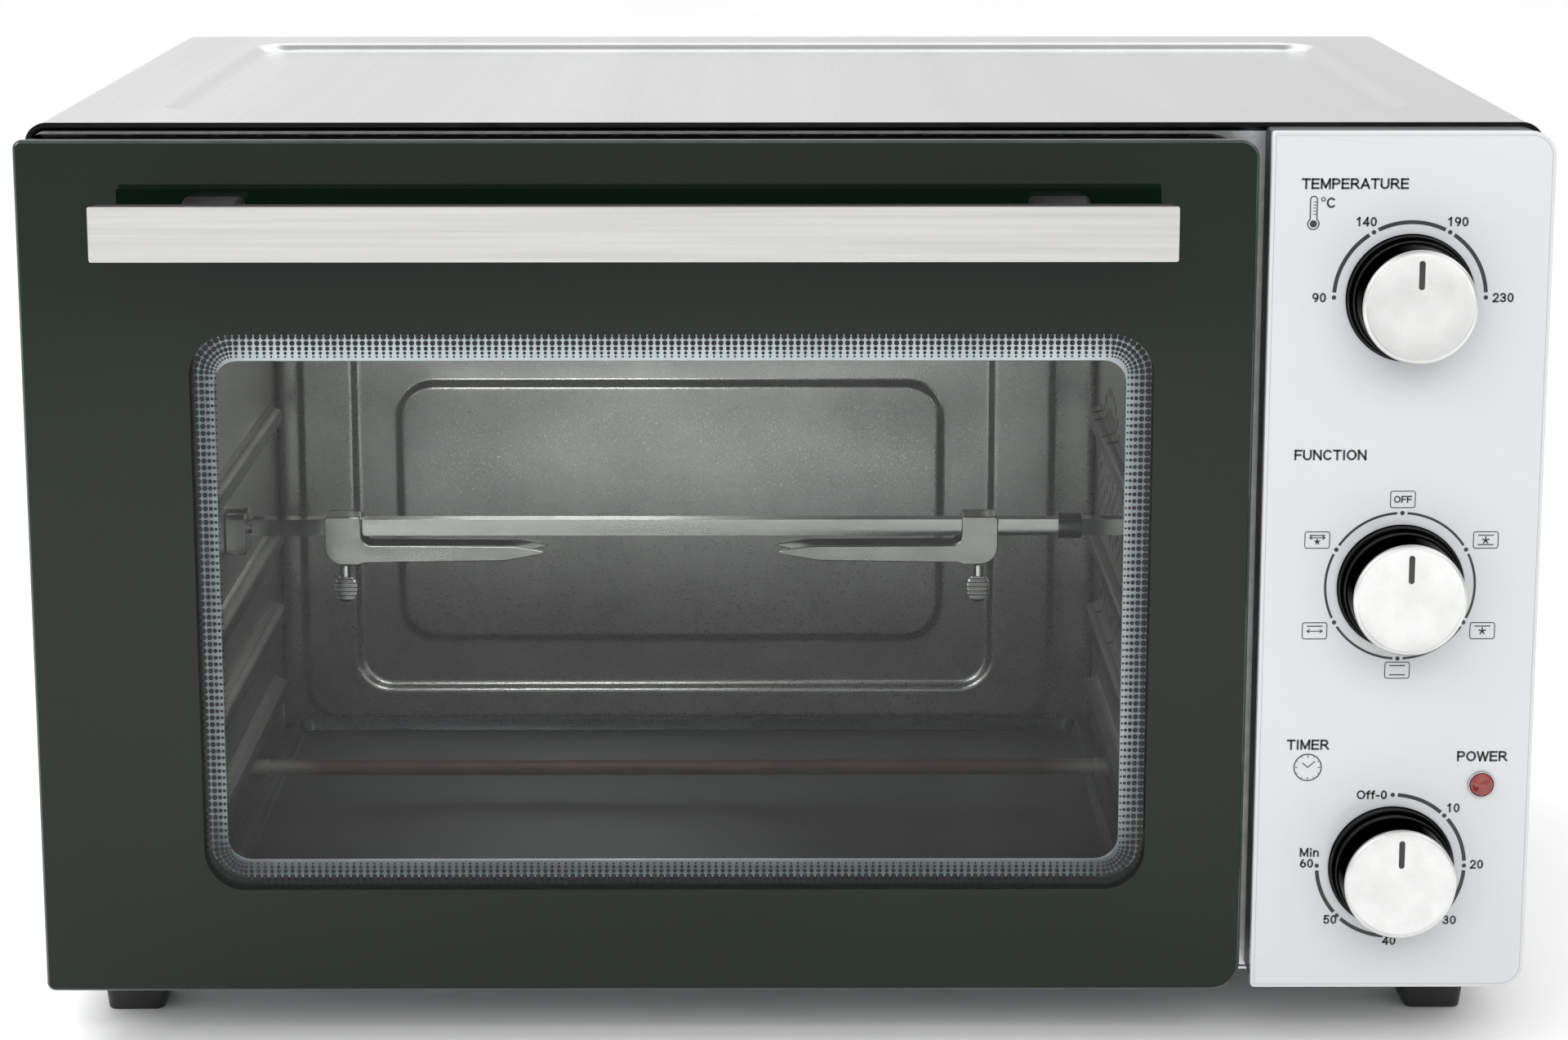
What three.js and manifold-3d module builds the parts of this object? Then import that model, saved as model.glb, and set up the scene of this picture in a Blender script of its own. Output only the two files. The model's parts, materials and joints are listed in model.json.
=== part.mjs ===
// Countertop oven with a rotisserie spit and a convection fan.
// Millimetres. +X is right and +Y is back for someone facing the door; +Z is up.
// The origin is on the table, at the middle of the overall box.

import * as THREE from 'three';
import { mergeVertices } from 'three/addons/utils/BufferGeometryUtils.js';
import Module from 'manifold-3d';

const wasm = await Module();
wasm.setup();

// ---------------------------------------------------------------- driving dimensions

const fasciaWidth = 520;        // door, gap and control panel
const overallHeight = 325;      // table to the top of the casing
const casingDepth = 336;        // body front to the casing's rear edge
const footHeight = 21;
const fasciaDepth = 22;         // face of the door glass to the body front
const handleStandOff = 30;      // face of the handle to the face of the glass
const spacerDepth = 7;          // wall spacers behind the casing

const sheet = 1.2;              // outer sheet metal
const cavitySheet = 1.0;        // oven liner sheet metal
const clearance = 0.3;          // gap between pieces that touch
const runningGap = 0.5;         // gap round pieces that turn or slide

const casingInset = 0.5;
const casingCorner = 6.5;
const topRecessDepth = 3;
const topRecessSlope = 5;
const topRecessCorner = 18;
const topRecessSide = 37.5;
const topRecessRight = 34.5;
const topRecessFront = 45;
const topRecessRear = 30;

const sideVents = { count: 10, width: 3, pitch: 9, low: 34, high: 74, fromBack: 36 };
const backVents = { count: 12, width: 3.5, pitch: 8, topDrop: 55, rightLength: 50, leftLength: 30 };
const baseVents = { count: 9, width: 4, pitch: 9, length: 50, fromFront: 60, fromBack: 120 };
const doorVents = { width: 12.4, depth: 3.6, pitch: 15.1, fromBack: 2.4, ends: 14 };
const ventMargins = { backRight: 14, backLeft: 12, base: 22 };

const panelWidth = 96;
const doorGap = 4;
const doorTopDrop = 3;
const doorBodyGap = 2;
const glassThickness = 4;
const glassCorners = [3, 10, 6.5, 3];
const panelCorners = [1.5, 8.5, 8.5, 1.5];
const panelRise = 1;
const panelTopDrop = 0.2;
const housingWall = 2.5;

const windowLeft = 57;          // door edge to the edge of the window print
const windowRight = 34.3;
const windowBottom = 37.4;
const windowTop = 66.3;
const windowCorner = 14.5;
const innerWindow = { left: 5.5, right: 7.5, bottom: 5, top: 12.5, corner: 8 };
const paneThickness = 3;
const paneMargin = 0.5;

const doorFrameInset = 3;
const doorFrameLift = 1.5;
const doorFrameWall = 2;
const frameChamfer = 12;

const handleSide = 30;          // door edge to the handle's end
const handleTopDrop = 18.5;     // door top to the handle's top
const handleHeight = 18.5;
const handleThickness = 10;
const handleSkin = 1.5;
const handleLegSpacing = 285;
const handleLegWidth = 19;

const hingeRise = 5;            // door bottom to the hinge axis
const hingeSetback = 8;         // hinge axis to the body front
const hingePinRadius = 2;
const hingeTongue = 2.2;
const hingeNoseRadius = 4;
const hingeEdge = 6;            // door frame edge to the notch
const hingeNotch = 12;
const hingeBlock = 30;
const hingeBlockHeight = 22;
const hingePinReach = 6;        // pin's length past the notch

const cavityLeftMargin = 43;    // door edge to the liner's side wall
const cavityRightMargin = 25;
const cavityFloorRise = 7;      // base plate to the liner's floor
const cavityCeilingDrop = 35;   // casing top to the liner's ceiling
const cavityRearSpace = 44.5;   // liner's back wall to the casing's rear edge

const rackFirst = 26;           // floor to the lowest rack guide
const rackPitch = 33;
const rackTop = 144;            // floor to the guide above the spit
const rackRib = 4;
const rackRibHalfHeight = 3.5;

const heaterRadius = 3.25;
const heaterLowRise = 12;
const heaterHighDrop = 18;
const heaterFront = 52;
const heaterRear = 188.5;
const heaterOverhang = 9;       // sheath beyond the liner wall
const heaterPinRadius = 1.4;
const heaterPinLength = 5;

const trayRim = 6;
const trayMargin = 3;
const trayFlare = 2;

const spitRise = 123;           // cavity floor to the spit's axis
const spitSide = 6.5;
const spitJournalRadius = 2.75;
const spitCollarRadius = 5;
const spitCollarWidth = 9;
const spitCollarFromWall = 18.7;
const couplingRadius = 7.5;
const couplingShaftRadius = 3.5;
const couplingReach = 16;       // socket's end beyond the liner wall
const driveShaftLength = 22;    // socket to the end inside the motor
const driveMotorRadius = 22;
const driveMotorDepth = 20;

const forkWidth = 14;
const forkDepth = 14;
const forkAbove = 5;
const forkBelow = 14;
const prongLength = 72;
const prongHeight = 6.5;
const prongThickness = 1.6;
const forkLeftFromWall = 45.6;
const forkRightFromWall = 58.5;
const thumbShaftRadius = 1.8;
const thumbWidth = 9.5;
const thumbHeight = 11.7;
const thumbThickness = 2.6;
const thumbNeck = 5;

const fanRise = 109;            // cavity floor to the fan's axis
const fanFromBack = 69;
const fanHousingRadius = 64;
const fanHousingDepth = 18;
const fanRadius = 50;
const perforation = { radius: 57, spacing: 11, hole: 2.4 };
const fanBlades = 8;
const fanBladeWidth = 9;
const fanShaftRadius = 3;
const fanMotorRadius = 22;
const fanMotorDepth = 26;

const knobRadius = 22;
const knobFaceRadius = 19.3;
const knobHeight = 22;
const knobCapThickness = 2.2;
const knobTopMargin = 56.5;
const knobBottomMargin = 44.8;
const knobBevel = 0.7;
const knobPointer = { halfWidth: 1, low: 6, high: 16, depth: 0.5 };
const knobShaftRadius = 3;
const knobShaftFlat = 2.2;      // axis to the flat
const knobSocketDepth = 14;
const shaftHoleRadius = 5;
const lensRadius = 4.7;
const lensStemRadius = 3.4;
const lensOffset = { x: 30.7, z: 29.7 };
const lampRadius = 2.6;
const lampLength = 6.5;

const footTop = 28;
const footTaper = { inner: 6, outer: 2, ends: 3 };
const footSideInset = 11.5;
const footSetback = 14;         // casing's front and rear edges to the feet

const spacerFromSide = 52;
const spacerTopDrop = 32;
const glandRise = 40;
const glandHoleRadius = 5.5;
const terminals = { width: 44, depth: 18, height: 16, pitch: 14, radius: 3.2, fromBack: 60 };

// ---------------------------------------------------------------- derived places

const overallDepth = handleStandOff + fasciaDepth + casingDepth + spacerDepth;
const handleFrontY = -overallDepth / 2;
const glassFrontY = handleFrontY + handleStandOff;
const bodyFrontY = glassFrontY + fasciaDepth;
const casingBackY = bodyFrontY + casingDepth;
const spacerBackY = casingBackY + spacerDepth;

const fasciaLeft = -fasciaWidth / 2;
const fasciaRight = fasciaWidth / 2;
const panelLeft = fasciaRight - panelWidth;
const doorLeft = fasciaLeft;
const doorRight = panelLeft - doorGap;
const doorMiddle = (doorLeft + doorRight) / 2;
const casingHalf = fasciaWidth / 2 - casingInset;
const innerHalf = casingHalf - sheet - clearance;

const baseZ = footHeight;
const doorTop = overallHeight - doorTopDrop;
const panelBottom = baseZ + panelRise;
const panelTop = overallHeight - panelTopDrop;

const glassBackY = glassFrontY + glassThickness;
const doorBackY = bodyFrontY - doorBodyGap;
const innerFrameY = doorBackY - sheet;
const doorFrameFrontY = glassBackY + clearance;
const doorFrameBackY = innerFrameY - clearance;
const hingeY = bodyFrontY - hingeSetback;
const hingeZ = baseZ + hingeRise;

const backPanelY = casingBackY - sheet - clearance;
const glandX = (panelLeft + fasciaRight) / 2;
const glandZ = baseZ + glandRise;

const cavityLeft = doorLeft + cavityLeftMargin;
const cavityRight = doorRight - cavityRightMargin;
const cavityFloor = baseZ + cavityFloorRise;
const cavityCeiling = overallHeight - cavityCeilingDrop;
const cavityFront = bodyFrontY + sheet + clearance;
const cavityBack = casingBackY - cavityRearSpace;

const rackHeights = [0, 1, 2].map((level) => rackFirst + rackPitch * level).concat(rackTop);
const heaterLevels = { lower: cavityFloor + heaterLowRise, upper: cavityCeiling - heaterHighDrop };

const spitY = (cavityFront + cavityBack) / 2;
const spitZ = cavityFloor + spitRise;
const wallOutside = cavityRight + cavitySheet;
const driveMotorX = wallOutside + couplingReach + 10;

const fanY = cavityBack - fanFromBack;
const fanSpacing = fanHousingRadius + couplingRadius + 1;
const fanDrop = Math.sqrt(Math.max(0, fanSpacing ** 2 - (fanY - spitY) ** 2));
const fanZ = Math.min(cavityFloor + fanRise, spitZ - fanDrop);
const fanMotorX = wallOutside + clearance + fanHousingDepth + clearance;

// The rear heaters' ends stand clear of the fan housing, however large it is.
const heaterSpacing = fanHousingRadius + heaterRadius + 1;
const heaterDrop = fanZ - heaterLevels.lower;
const heaterReach = Math.sqrt(Math.max(0, heaterSpacing ** 2 - heaterDrop ** 2));
const heaterPlaces = {
  front: cavityFront + heaterFront,
  rear: heaterReach > 0 ? Math.min(cavityFront + heaterRear, fanY - heaterReach) : cavityFront + heaterRear,
};

const knobX = (panelLeft + fasciaRight) / 2;
const knobTopZ = panelTop - knobTopMargin;
const knobBottomZ = panelBottom + knobBottomMargin;
const knobMiddleZ = (knobTopZ + knobBottomZ) / 2;
const knobHeights = { temperature: knobTopZ, function: knobMiddleZ, timer: knobBottomZ };
const lensX = knobX + lensOffset.x;
const lensZ = knobBottomZ + lensOffset.z;

const doorOutline = { left: doorLeft, right: doorRight, low: baseZ, high: doorTop };
const windowOutline = {
  left: doorLeft + windowLeft,
  right: doorRight - windowRight,
  low: baseZ + windowBottom,
  high: doorTop - windowTop,
};
const innerOutline = {
  left: windowOutline.left + innerWindow.left,
  right: windowOutline.right - innerWindow.right,
  low: windowOutline.low + innerWindow.bottom,
  high: windowOutline.high - innerWindow.top,
};

// ---------------------------------------------------------------- making solids

// A closed geometry as a manifold solid with its faces pointing out.
function solid(geometry) {
  const bare = geometry.clone();
  bare.deleteAttribute('normal');
  bare.deleteAttribute('uv');
  const merged = mergeVertices(bare, 1e-3);
  const index = merged.getIndex().array;
  const place = merged.getAttribute('position').array;
  const corner = (i) => new THREE.Vector3().fromArray(place, 3 * i);
  const faces = [];
  let volume = 0;
  for (let i = 0; i < index.length; i += 3) {
    const [a, b, c] = [index[i], index[i + 1], index[i + 2]];
    if (a === b || b === c || c === a) continue;
    faces.push(a, b, c);
    volume += corner(a).dot(corner(b).cross(corner(c)));
  }
  if (volume < 0) faces.reverse();
  const triVerts = new Uint32Array(faces);
  return new wasm.Manifold(new wasm.Mesh({ numProp: 3, vertProperties: place, triVerts }));
}

function box(left, right, front, back, low, high) {
  const geometry = new THREE.BoxGeometry(right - left, back - front, high - low);
  geometry.translate((left + right) / 2, (front + back) / 2, (low + high) / 2);
  return solid(geometry);
}

// A rectangle with its own radius at bottom left, bottom right, top right and top left.
function rectangle(left, right, low, high, radius = 0) {
  const radii = Array.isArray(radius) ? radius : [radius, radius, radius, radius];
  const turn = Math.PI / 2;
  const corners = [
    [left + radii[0], low + radii[0], radii[0], 2],
    [right - radii[1], low + radii[1], radii[1], 3],
    [right - radii[2], high - radii[2], radii[2], 0],
    [left + radii[3], high - radii[3], radii[3], 1],
  ];
  const shape = new THREE.Shape();
  shape.moveTo(left, low + radii[0]);
  for (const [x, y, r, quarter] of corners) {
    if (r > 0) shape.absarc(x, y, r, quarter * turn, (quarter + 1) * turn, false);
    else shape.lineTo(x, y);
  }
  shape.closePath();
  return shape;
}

function outlined(outline, radius = 0, grow = 0) {
  const { left, right, low, high } = outline;
  return rectangle(left - grow, right + grow, low - grow, high + grow, radius);
}

function extruded(shape, depth, curveSegments) {
  return new THREE.ExtrudeGeometry(shape, { depth, bevelEnabled: false, curveSegments });
}

// A shape in X and Z, from front to back.
function alongY(shape, front, back, curveSegments = 2) {
  const geometry = extruded(shape, back - front, curveSegments);
  geometry.rotateX(Math.PI / 2);
  geometry.translate(0, back, 0);
  return solid(geometry);
}

// A shape in Y and Z, from left to right.
function alongX(shape, left, right, curveSegments = 2) {
  const geometry = extruded(shape, right - left, curveSegments);
  const yAxis = new THREE.Vector3(0, 1, 0);
  const zAxis = new THREE.Vector3(0, 0, 1);
  const xAxis = new THREE.Vector3(1, 0, 0);
  geometry.applyMatrix4(new THREE.Matrix4().makeBasis(yAxis, zAxis, xAxis));
  geometry.translate(left, 0, 0);
  return solid(geometry);
}

function rodX(left, right, y, z, radius, sides = 16) {
  const geometry = new THREE.CylinderGeometry(radius, radius, right - left, sides);
  geometry.rotateZ(Math.PI / 2);
  geometry.translate((left + right) / 2, y, z);
  return solid(geometry);
}

function rodY(front, back, x, z, radius, sides = 16) {
  const geometry = new THREE.CylinderGeometry(radius, radius, back - front, sides);
  geometry.translate(x, (front + back) / 2, z);
  return solid(geometry);
}

function rodZ(low, high, x, y, radius, sides = 16) {
  const geometry = new THREE.CylinderGeometry(radius, radius, high - low, sides);
  geometry.rotateX(Math.PI / 2);
  geometry.translate(x, y, (low + high) / 2);
  return solid(geometry);
}

function cut(made, tools) {
  return made.subtract(wasm.Manifold.union(tools));
}

// A turned solid; profile points are [radius, distance], from the axis back to the axis.
function turned(profile, sides) {
  const points = profile.map(([radius, distance]) => new THREE.Vector2(radius, distance));
  return new THREE.LatheGeometry(points, sides);
}

// Distances count forwards from the origin, towards -Y.
function turnedForward(profile, sides = 24) {
  return solid(turned(profile, sides).rotateX(Math.PI));
}

// Distances count to the right from the origin, towards +X.
function turnedRight(profile, sides = 16) {
  return solid(turned(profile, sides).rotateZ(-Math.PI / 2));
}

// A closed skin over convex rings that all have the same number of points.
function loft(rings) {
  const count = rings[0].length;
  const faces = [];
  for (let level = 0; level + 1 < rings.length; level += 1) {
    for (let i = 0; i < count; i += 1) {
      const a = level * count + i;
      const b = level * count + ((i + 1) % count);
      faces.push(a, b, b + count, a, b + count, a + count);
    }
  }
  const last = (rings.length - 1) * count;
  for (let i = 1; i + 1 < count; i += 1) {
    faces.push(0, i + 1, i, last, last + i, last + i + 1);
  }
  const geometry = new THREE.BufferGeometry().setFromPoints(rings.flat());
  geometry.setIndex(faces);
  return solid(geometry);
}

// Points round a rectangle with rounded corners, each put in place by the function given.
function ring(left, right, low, high, radius, place, curveSegments = 2) {
  const points = rectangle(left, right, low, high, radius).getPoints(curveSegments);
  if (points[0].distanceTo(points[points.length - 1]) < 1e-6) points.pop();
  return points.map((point) => place(point.x, point.y));
}

const atHeight = (z) => (x, y) => new THREE.Vector3(x, y, z);
const atDepth = (y) => (x, z) => new THREE.Vector3(x, y, z);
const atSide = (x) => (y, z) => new THREE.Vector3(x, y, z);

// ---------------------------------------------------------------- finishes and nodes

const finishes = {
  stainless: { color: 0xd2d4d6, roughness: 0.28, metalness: 1 },
  brushed: { color: 0xc4c4c2, roughness: 0.4, metalness: 1 },
  galvanised: { color: 0x9a9c9c, roughness: 0.45, metalness: 1 },
  liner: { color: 0x85877f, roughness: 0.5, metalness: 1 },
  darkGlass: { color: 0x3a403b, roughness: 0.06, metalness: 0 },
  clearGlass: { color: 0xaebab8, roughness: 0.05, metalness: 0 },
  panelGlass: { color: 0xd6d9db, roughness: 0.12, metalness: 0 },
  blackPlastic: { color: 0x151616, roughness: 0.5, metalness: 0 },
  blackEnamel: { color: 0x202223, roughness: 0.4, metalness: 0.2 },
  darkChrome: { color: 0x2a2b2c, roughness: 0.12, metalness: 1 },
  satinCap: { color: 0xdcdcdc, roughness: 0.32, metalness: 1 },
  heater: { color: 0x4b342a, roughness: 0.6, metalness: 0.7 },
  steel: { color: 0xb4b4b0, roughness: 0.3, metalness: 1 },
  redLens: { color: 0xa8342e, roughness: 0.2, metalness: 0 },
  control: { color: 0xb9a98a, roughness: 0.6, metalness: 0 },
  motor: { color: 0x8b8d8e, roughness: 0.5, metalness: 0.8 },
};

const oven = new THREE.Group();

function group(parent = oven) {
  const made = new THREE.Group();
  parent.add(made);
  return made;
}

const body = group();
const door = group();
const spit = group();

// Adds a named mesh of the solid to a group, at a place, turned about Z.
function add(parent, name, made, finish, place = [0, 0, 0], turn = 0) {
  const { vertProperties, triVerts } = made.getMesh();
  const geometry = new THREE.BufferGeometry();
  geometry.setAttribute('position', new THREE.Float32BufferAttribute(vertProperties, 3));
  geometry.setIndex([...triVerts]);
  geometry.computeVertexNormals();
  const mesh = new THREE.Mesh(geometry, new THREE.MeshStandardMaterial(finishes[finish]));
  mesh.name = name;
  mesh.position.set(...place);
  mesh.rotation.z = turn;
  parent.add(mesh);
}

// ---------------------------------------------------------------- body shell

function casing() {
  const [front, back] = [bodyFrontY, casingBackY];
  const radii = [0, 0, casingCorner, casingCorner];
  const innerRadii = [0, 0, casingCorner - sheet, casingCorner - sheet];
  const outer = rectangle(-casingHalf, casingHalf, baseZ, overallHeight, radii);
  const inner = casingHalf - sheet;
  const room = rectangle(-inner, inner, baseZ - 1, overallHeight - sheet, innerRadii);
  const shell = alongY(outer, front, back, 3).subtract(alongY(room, front - 1, back + 1, 3));

  const edges = [
    -casingHalf + topRecessSide,
    casingHalf - topRecessRight,
    front + topRecessFront,
    back - topRecessRear,
  ];
  const level = (grow, z) => {
    const [left, right, near, far] = edges;
    const corner = topRecessCorner + grow;
    return ring(left - grow, right + grow, near - grow, far + grow, corner, atHeight(z), 3);
  };
  const floorZ = overallHeight - topRecessDepth;
  const slope = topRecessSlope / topRecessDepth;
  const dish = loft([level(sheet, overallHeight - 0.2), level(sheet - topRecessSlope, floorZ - sheet)]);
  const hollow = loft([level(slope, overallHeight + 1), level(-topRecessSlope, floorZ)]);

  let made = shell.add(dish).subtract(hollow);
  for (let i = 0; i < sideVents.count; i += 1) {
    const y = back - sideVents.fromBack - sideVents.pitch * i;
    const [low, high] = [baseZ + sideVents.low, baseZ + sideVents.high];
    made = made.subtract(box(inner - 1, casingHalf + 1, y, y + sideVents.width, low, high));
  }
  return made;
}

// A plate that fills the casing from side to side, above the base plate.
function fullPlate(front) {
  const [low, high] = [baseZ + sheet + clearance, overallHeight - sheet - clearance];
  const corner = casingCorner - sheet;
  const shape = rectangle(-innerHalf, innerHalf, low, high, [0, 0, corner, corner]);
  return alongY(shape, front, front + sheet);
}

function backPanel() {
  const [front, back] = [backPanelY - 1, casingBackY];
  const { width, pitch, rightLength, leftLength } = backVents;
  const high = overallHeight - backVents.topDrop;
  const tools = [rodY(front, back, glandX, glandZ, glandHoleRadius, 12)];
  for (let i = 0; i < backVents.count; i += 1) {
    const right = cavityRight + ventMargins.backRight + pitch * i;
    tools.push(box(right, right + width, front, back, high - rightLength, high));
    const left = cavityLeft + ventMargins.backLeft + pitch * i;
    tools.push(box(left, left + width, front, back, high - leftLength, high));
  }
  return cut(fullPlate(backPanelY), tools);
}

function basePlate() {
  const [low, high] = [baseZ, baseZ + sheet];
  const tools = [];
  for (let i = 0; i < baseVents.count; i += 1) {
    const x = cavityRight + ventMargins.base + baseVents.pitch * i;
    for (const y of [bodyFrontY + baseVents.fromFront, casingBackY - baseVents.fromBack]) {
      tools.push(box(x, x + baseVents.width, y, y + baseVents.length, low - 1, high + 1));
    }
  }
  const plate = box(-innerHalf, innerHalf, bodyFrontY, casingBackY - clearance, low, high);
  return cut(plate, tools);
}

// Centred on its top; the outer side is towards +X.
function foot() {
  const half = footTop / 2;
  const { inner, outer, ends } = footTaper;
  const high = ring(-half, half, -half, half, 3, atHeight(-clearance));
  const low = ring(-half + inner, half - outer, -half + ends, half - ends, 3, atHeight(-footHeight));
  return loft([high, low]);
}

function shaftHoles(front, back) {
  return Object.values(knobHeights).map((z) => rodY(front, back, knobX, z, shaftHoleRadius, 12));
}

function frontFrame() {
  const [front, back] = [bodyFrontY - 1, bodyFrontY + sheet + 1];
  const mouth = box(cavityLeft, cavityRight, front, back, cavityFloor, cavityCeiling);
  return cut(fullPlate(bodyFrontY), [mouth, ...shaftHoles(front, back)]);
}

// Centred on its rear face, which lies on the back panel; the nose points back.
function wallSpacer() {
  const base = ring(-11, 11, -7, 7, 3, atDepth(clearance));
  const nose = ring(-8, 8, -5, 5, 3, atDepth(spacerBackY - backPanelY - sheet));
  return loft([base, nose]);
}

function cableGland() {
  const flange = [[0, -2.5], [7.5, -2.5], [9, -1.5], [9, -clearance], [5, -clearance], [5, 7], [0, 7]];
  return turnedForward(flange, 16).subtract(rodY(-10, 10, 0, 0, 3.2, 12));
}

function buildShell() {
  add(body, 'casing', casing(), 'stainless');
  add(body, 'back_panel', backPanel(), 'galvanised');
  add(body, 'base_plate', basePlate(), 'galvanised');
  add(body, 'front_frame', frontFrame(), 'galvanised');

  const footX = casingHalf - footSideInset - footTop / 2;
  const sides = { left: -1, right: 1 };
  const ends = {
    front: bodyFrontY + footSetback + footTop / 2,
    rear: casingBackY - footSetback - footTop / 2,
  };
  for (const [end, y] of Object.entries(ends)) {
    for (const [side, sign] of Object.entries(sides)) {
      const turn = sign > 0 ? 0 : Math.PI;
      add(body, `foot_${end}_${side}`, foot(), 'blackPlastic', [sign * footX, y, baseZ], turn);
    }
  }
  for (const [side, sign] of Object.entries(sides)) {
    const x = sign * (casingHalf - spacerFromSide);
    const place = [x, backPanelY + sheet, overallHeight - spacerTopDrop];
    add(body, `wall_spacer_${side}`, wallSpacer(), 'blackPlastic', place);
  }
  add(body, 'cable_gland', cableGland(), 'blackPlastic', [glandX, backPanelY + sheet, glandZ]);
}

// ---------------------------------------------------------------- oven liner

// A side wall with the holes that the heaters pass through, and any more that are given.
function sideWall(left, holes) {
  const right = left + cavitySheet;
  const [back, low, high] = [cavityBack + cavitySheet, cavityFloor - cavitySheet, cavityCeiling + cavitySheet];
  const tools = holes.map(([y, z, radius, sides]) => rodX(left - 1, right + 1, y, z, radius, sides));
  for (const z of Object.values(heaterLevels)) {
    for (const y of Object.values(heaterPlaces)) {
      tools.push(rodX(left - 1, right + 1, y, z, heaterRadius + runningGap, 12));
    }
  }
  return cut(box(left, right, cavityFront, back, low, high), tools);
}

// Pressed ledges on the inner face of a side wall; sign is +1 where they point to +X.
function rackRibs(wallX, sign) {
  return rackHeights.map((rise) => {
    const z = cavityFloor + rise;
    const half = rackRibHalfHeight;
    const [near, far] = [cavityFront + 20, cavityBack - 22];
    const root = ring(near, far, z - half, z + half, 2, atSide(wallX - sign * 0.5), 1);
    const crest = ring(
      near + 3, far - 3, z - half + 2, z + half - 2, 1, atSide(wallX + sign * rackRib), 1);
    return loft([root, crest]);
  });
}

function leftWall() {
  let made = sideWall(cavityLeft - cavitySheet, []);
  for (const rib of rackRibs(cavityLeft, 1)) made = made.add(rib);
  return made;
}

// Small holes in rings, where the fan draws air through the wall.
function fanPerforation() {
  const { radius, spacing, hole } = perforation;
  const spitRoom = couplingRadius + runningGap + 2 * hole;
  const holes = [];
  for (let circle = 1; circle * spacing <= radius; circle += 1) {
    const count = 6 * circle;
    for (let i = 0; i < count; i += 1) {
      const angle = (2 * Math.PI * (i + 0.5 * (circle % 2))) / count;
      const y = fanY + circle * spacing * Math.cos(angle);
      const z = fanZ + circle * spacing * Math.sin(angle);
      const ribRoom = rackRibHalfHeight + hole + 1.6;
      const nearRib = rackHeights.some((rise) => Math.abs(z - cavityFloor - rise) < ribRoom);
      const nearSpit = Math.hypot(y - spitY, z - spitZ) < spitRoom;
      if (!nearRib && !nearSpit) holes.push([y, z, hole, 6]);
    }
  }
  return holes;
}

function rightWall() {
  const spitHole = [spitY, spitZ, couplingRadius + runningGap, 16];
  let made = sideWall(cavityRight, [spitHole, ...fanPerforation()]);
  for (const rib of rackRibs(cavityRight, -1)) made = made.add(rib);
  return made;
}

function backWall() {
  const [left, right] = [cavityLeft + clearance, cavityRight - clearance];
  const [low, high] = [cavityFloor + clearance, cavityCeiling - clearance];
  const wall = alongY(rectangle(left, right, low, high), cavityBack, cavityBack + cavitySheet);
  const step = (l, r, b, t, from, to) => loft([
    ring(left + l, right - r, low + b, high - t, 16, atDepth(cavityBack - from)),
    ring(left + l + 3, right - r - 3, low + b + 3, high - t - 3, 13, atDepth(cavityBack - to)),
  ]);
  return wall
    .add(step(12, 20, 6, 20, -0.5, 2.5))
    .subtract(step(34, 45, 20, 45, 4, 0).subtract(step(54, 67, 41, 109, 5, -1)));
}

function buildLiner() {
  const [left, right] = [cavityLeft + clearance, cavityRight - clearance];
  const [front, back] = [cavityFront, cavityBack + cavitySheet];
  const ceilingZ = cavityCeiling + cavitySheet;
  add(body, 'cavity_floor', box(left, right, front, back, cavityFloor - cavitySheet, cavityFloor), 'liner');
  add(body, 'cavity_ceiling', box(left, right, front, back, cavityCeiling, ceilingZ), 'liner');
  add(body, 'cavity_left_wall', leftWall(), 'liner');
  add(body, 'cavity_right_wall', rightWall(), 'liner');
  add(body, 'cavity_back_wall', backWall(), 'liner');
}

// A sheathed element across the oven, with its cold ends outside the liner.
function heater() {
  const left = -heaterOverhang;
  const right = cavityRight - cavityLeft + heaterOverhang;
  const [leftEnd, rightEnd] = [left - heaterPinLength, right + heaterPinLength];
  const pin = heaterPinRadius;
  return turnedRight([
    [0, leftEnd], [pin, leftEnd], [pin, left], [heaterRadius, left],
    [heaterRadius, right], [pin, right], [pin, rightEnd], [0, rightEnd],
  ], 12);
}

function crumbTray() {
  const [left, right] = [cavityLeft + rackRib + trayMargin, cavityRight - rackRib - trayMargin];
  const [front, back] = [cavityFront + 2, cavityBack - 6];
  const low = cavityFloor + clearance;
  const high = low + trayRim;
  const flare = trayFlare;
  const shell = (wall, bottom, top) => loft([
    ring(left + flare + wall, right - flare - wall, front + flare + wall, back - flare - wall, 5,
      atHeight(bottom)),
    ring(left + wall, right - wall, front + wall, back - wall, 6, atHeight(top)),
  ]);
  return shell(0, low, high).subtract(shell(cavitySheet, low + cavitySheet, high + 0.5));
}

function buildHeating() {
  for (const [level, z] of Object.entries(heaterLevels)) {
    for (const [place, y] of Object.entries(heaterPlaces)) {
      add(body, `heater_${level}_${place}`, heater(), 'heater', [cavityLeft, y, z]);
    }
  }
  add(body, 'crumb_tray', crumbTray(), 'liner');
}

// ---------------------------------------------------------------- control panel

function panelHoles(front, back) {
  const lensHole = rodY(front, back, lensX, lensZ, lensStemRadius + runningGap, 12);
  return [lensHole, ...shaftHoles(front, back)];
}

function panelGlass() {
  const shape = rectangle(panelLeft, fasciaRight, panelBottom, panelTop, panelCorners);
  return cut(alongY(shape, glassFrontY, glassBackY, 3), panelHoles(glassFrontY - 1, glassBackY + 1));
}

function panelHousing() {
  const inset = 0.6;
  const [left, right] = [panelLeft + inset, fasciaRight - inset];
  const [low, high] = [panelBottom + inset, panelTop - inset];
  const [front, back] = [glassBackY + clearance, bodyFrontY - clearance];
  const wall = housingWall;
  const outer = alongY(rectangle(left, right, low, high, [1.5, 8, 8, 1.5]), front, back, 3);
  const room = rectangle(left + wall, right - wall, low + wall, high - wall, [1, 6, 6, 1]);
  return cut(outer, [alongY(room, front + wall, back + 1, 3), ...panelHoles(front - 1, back + 1)]);
}

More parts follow.
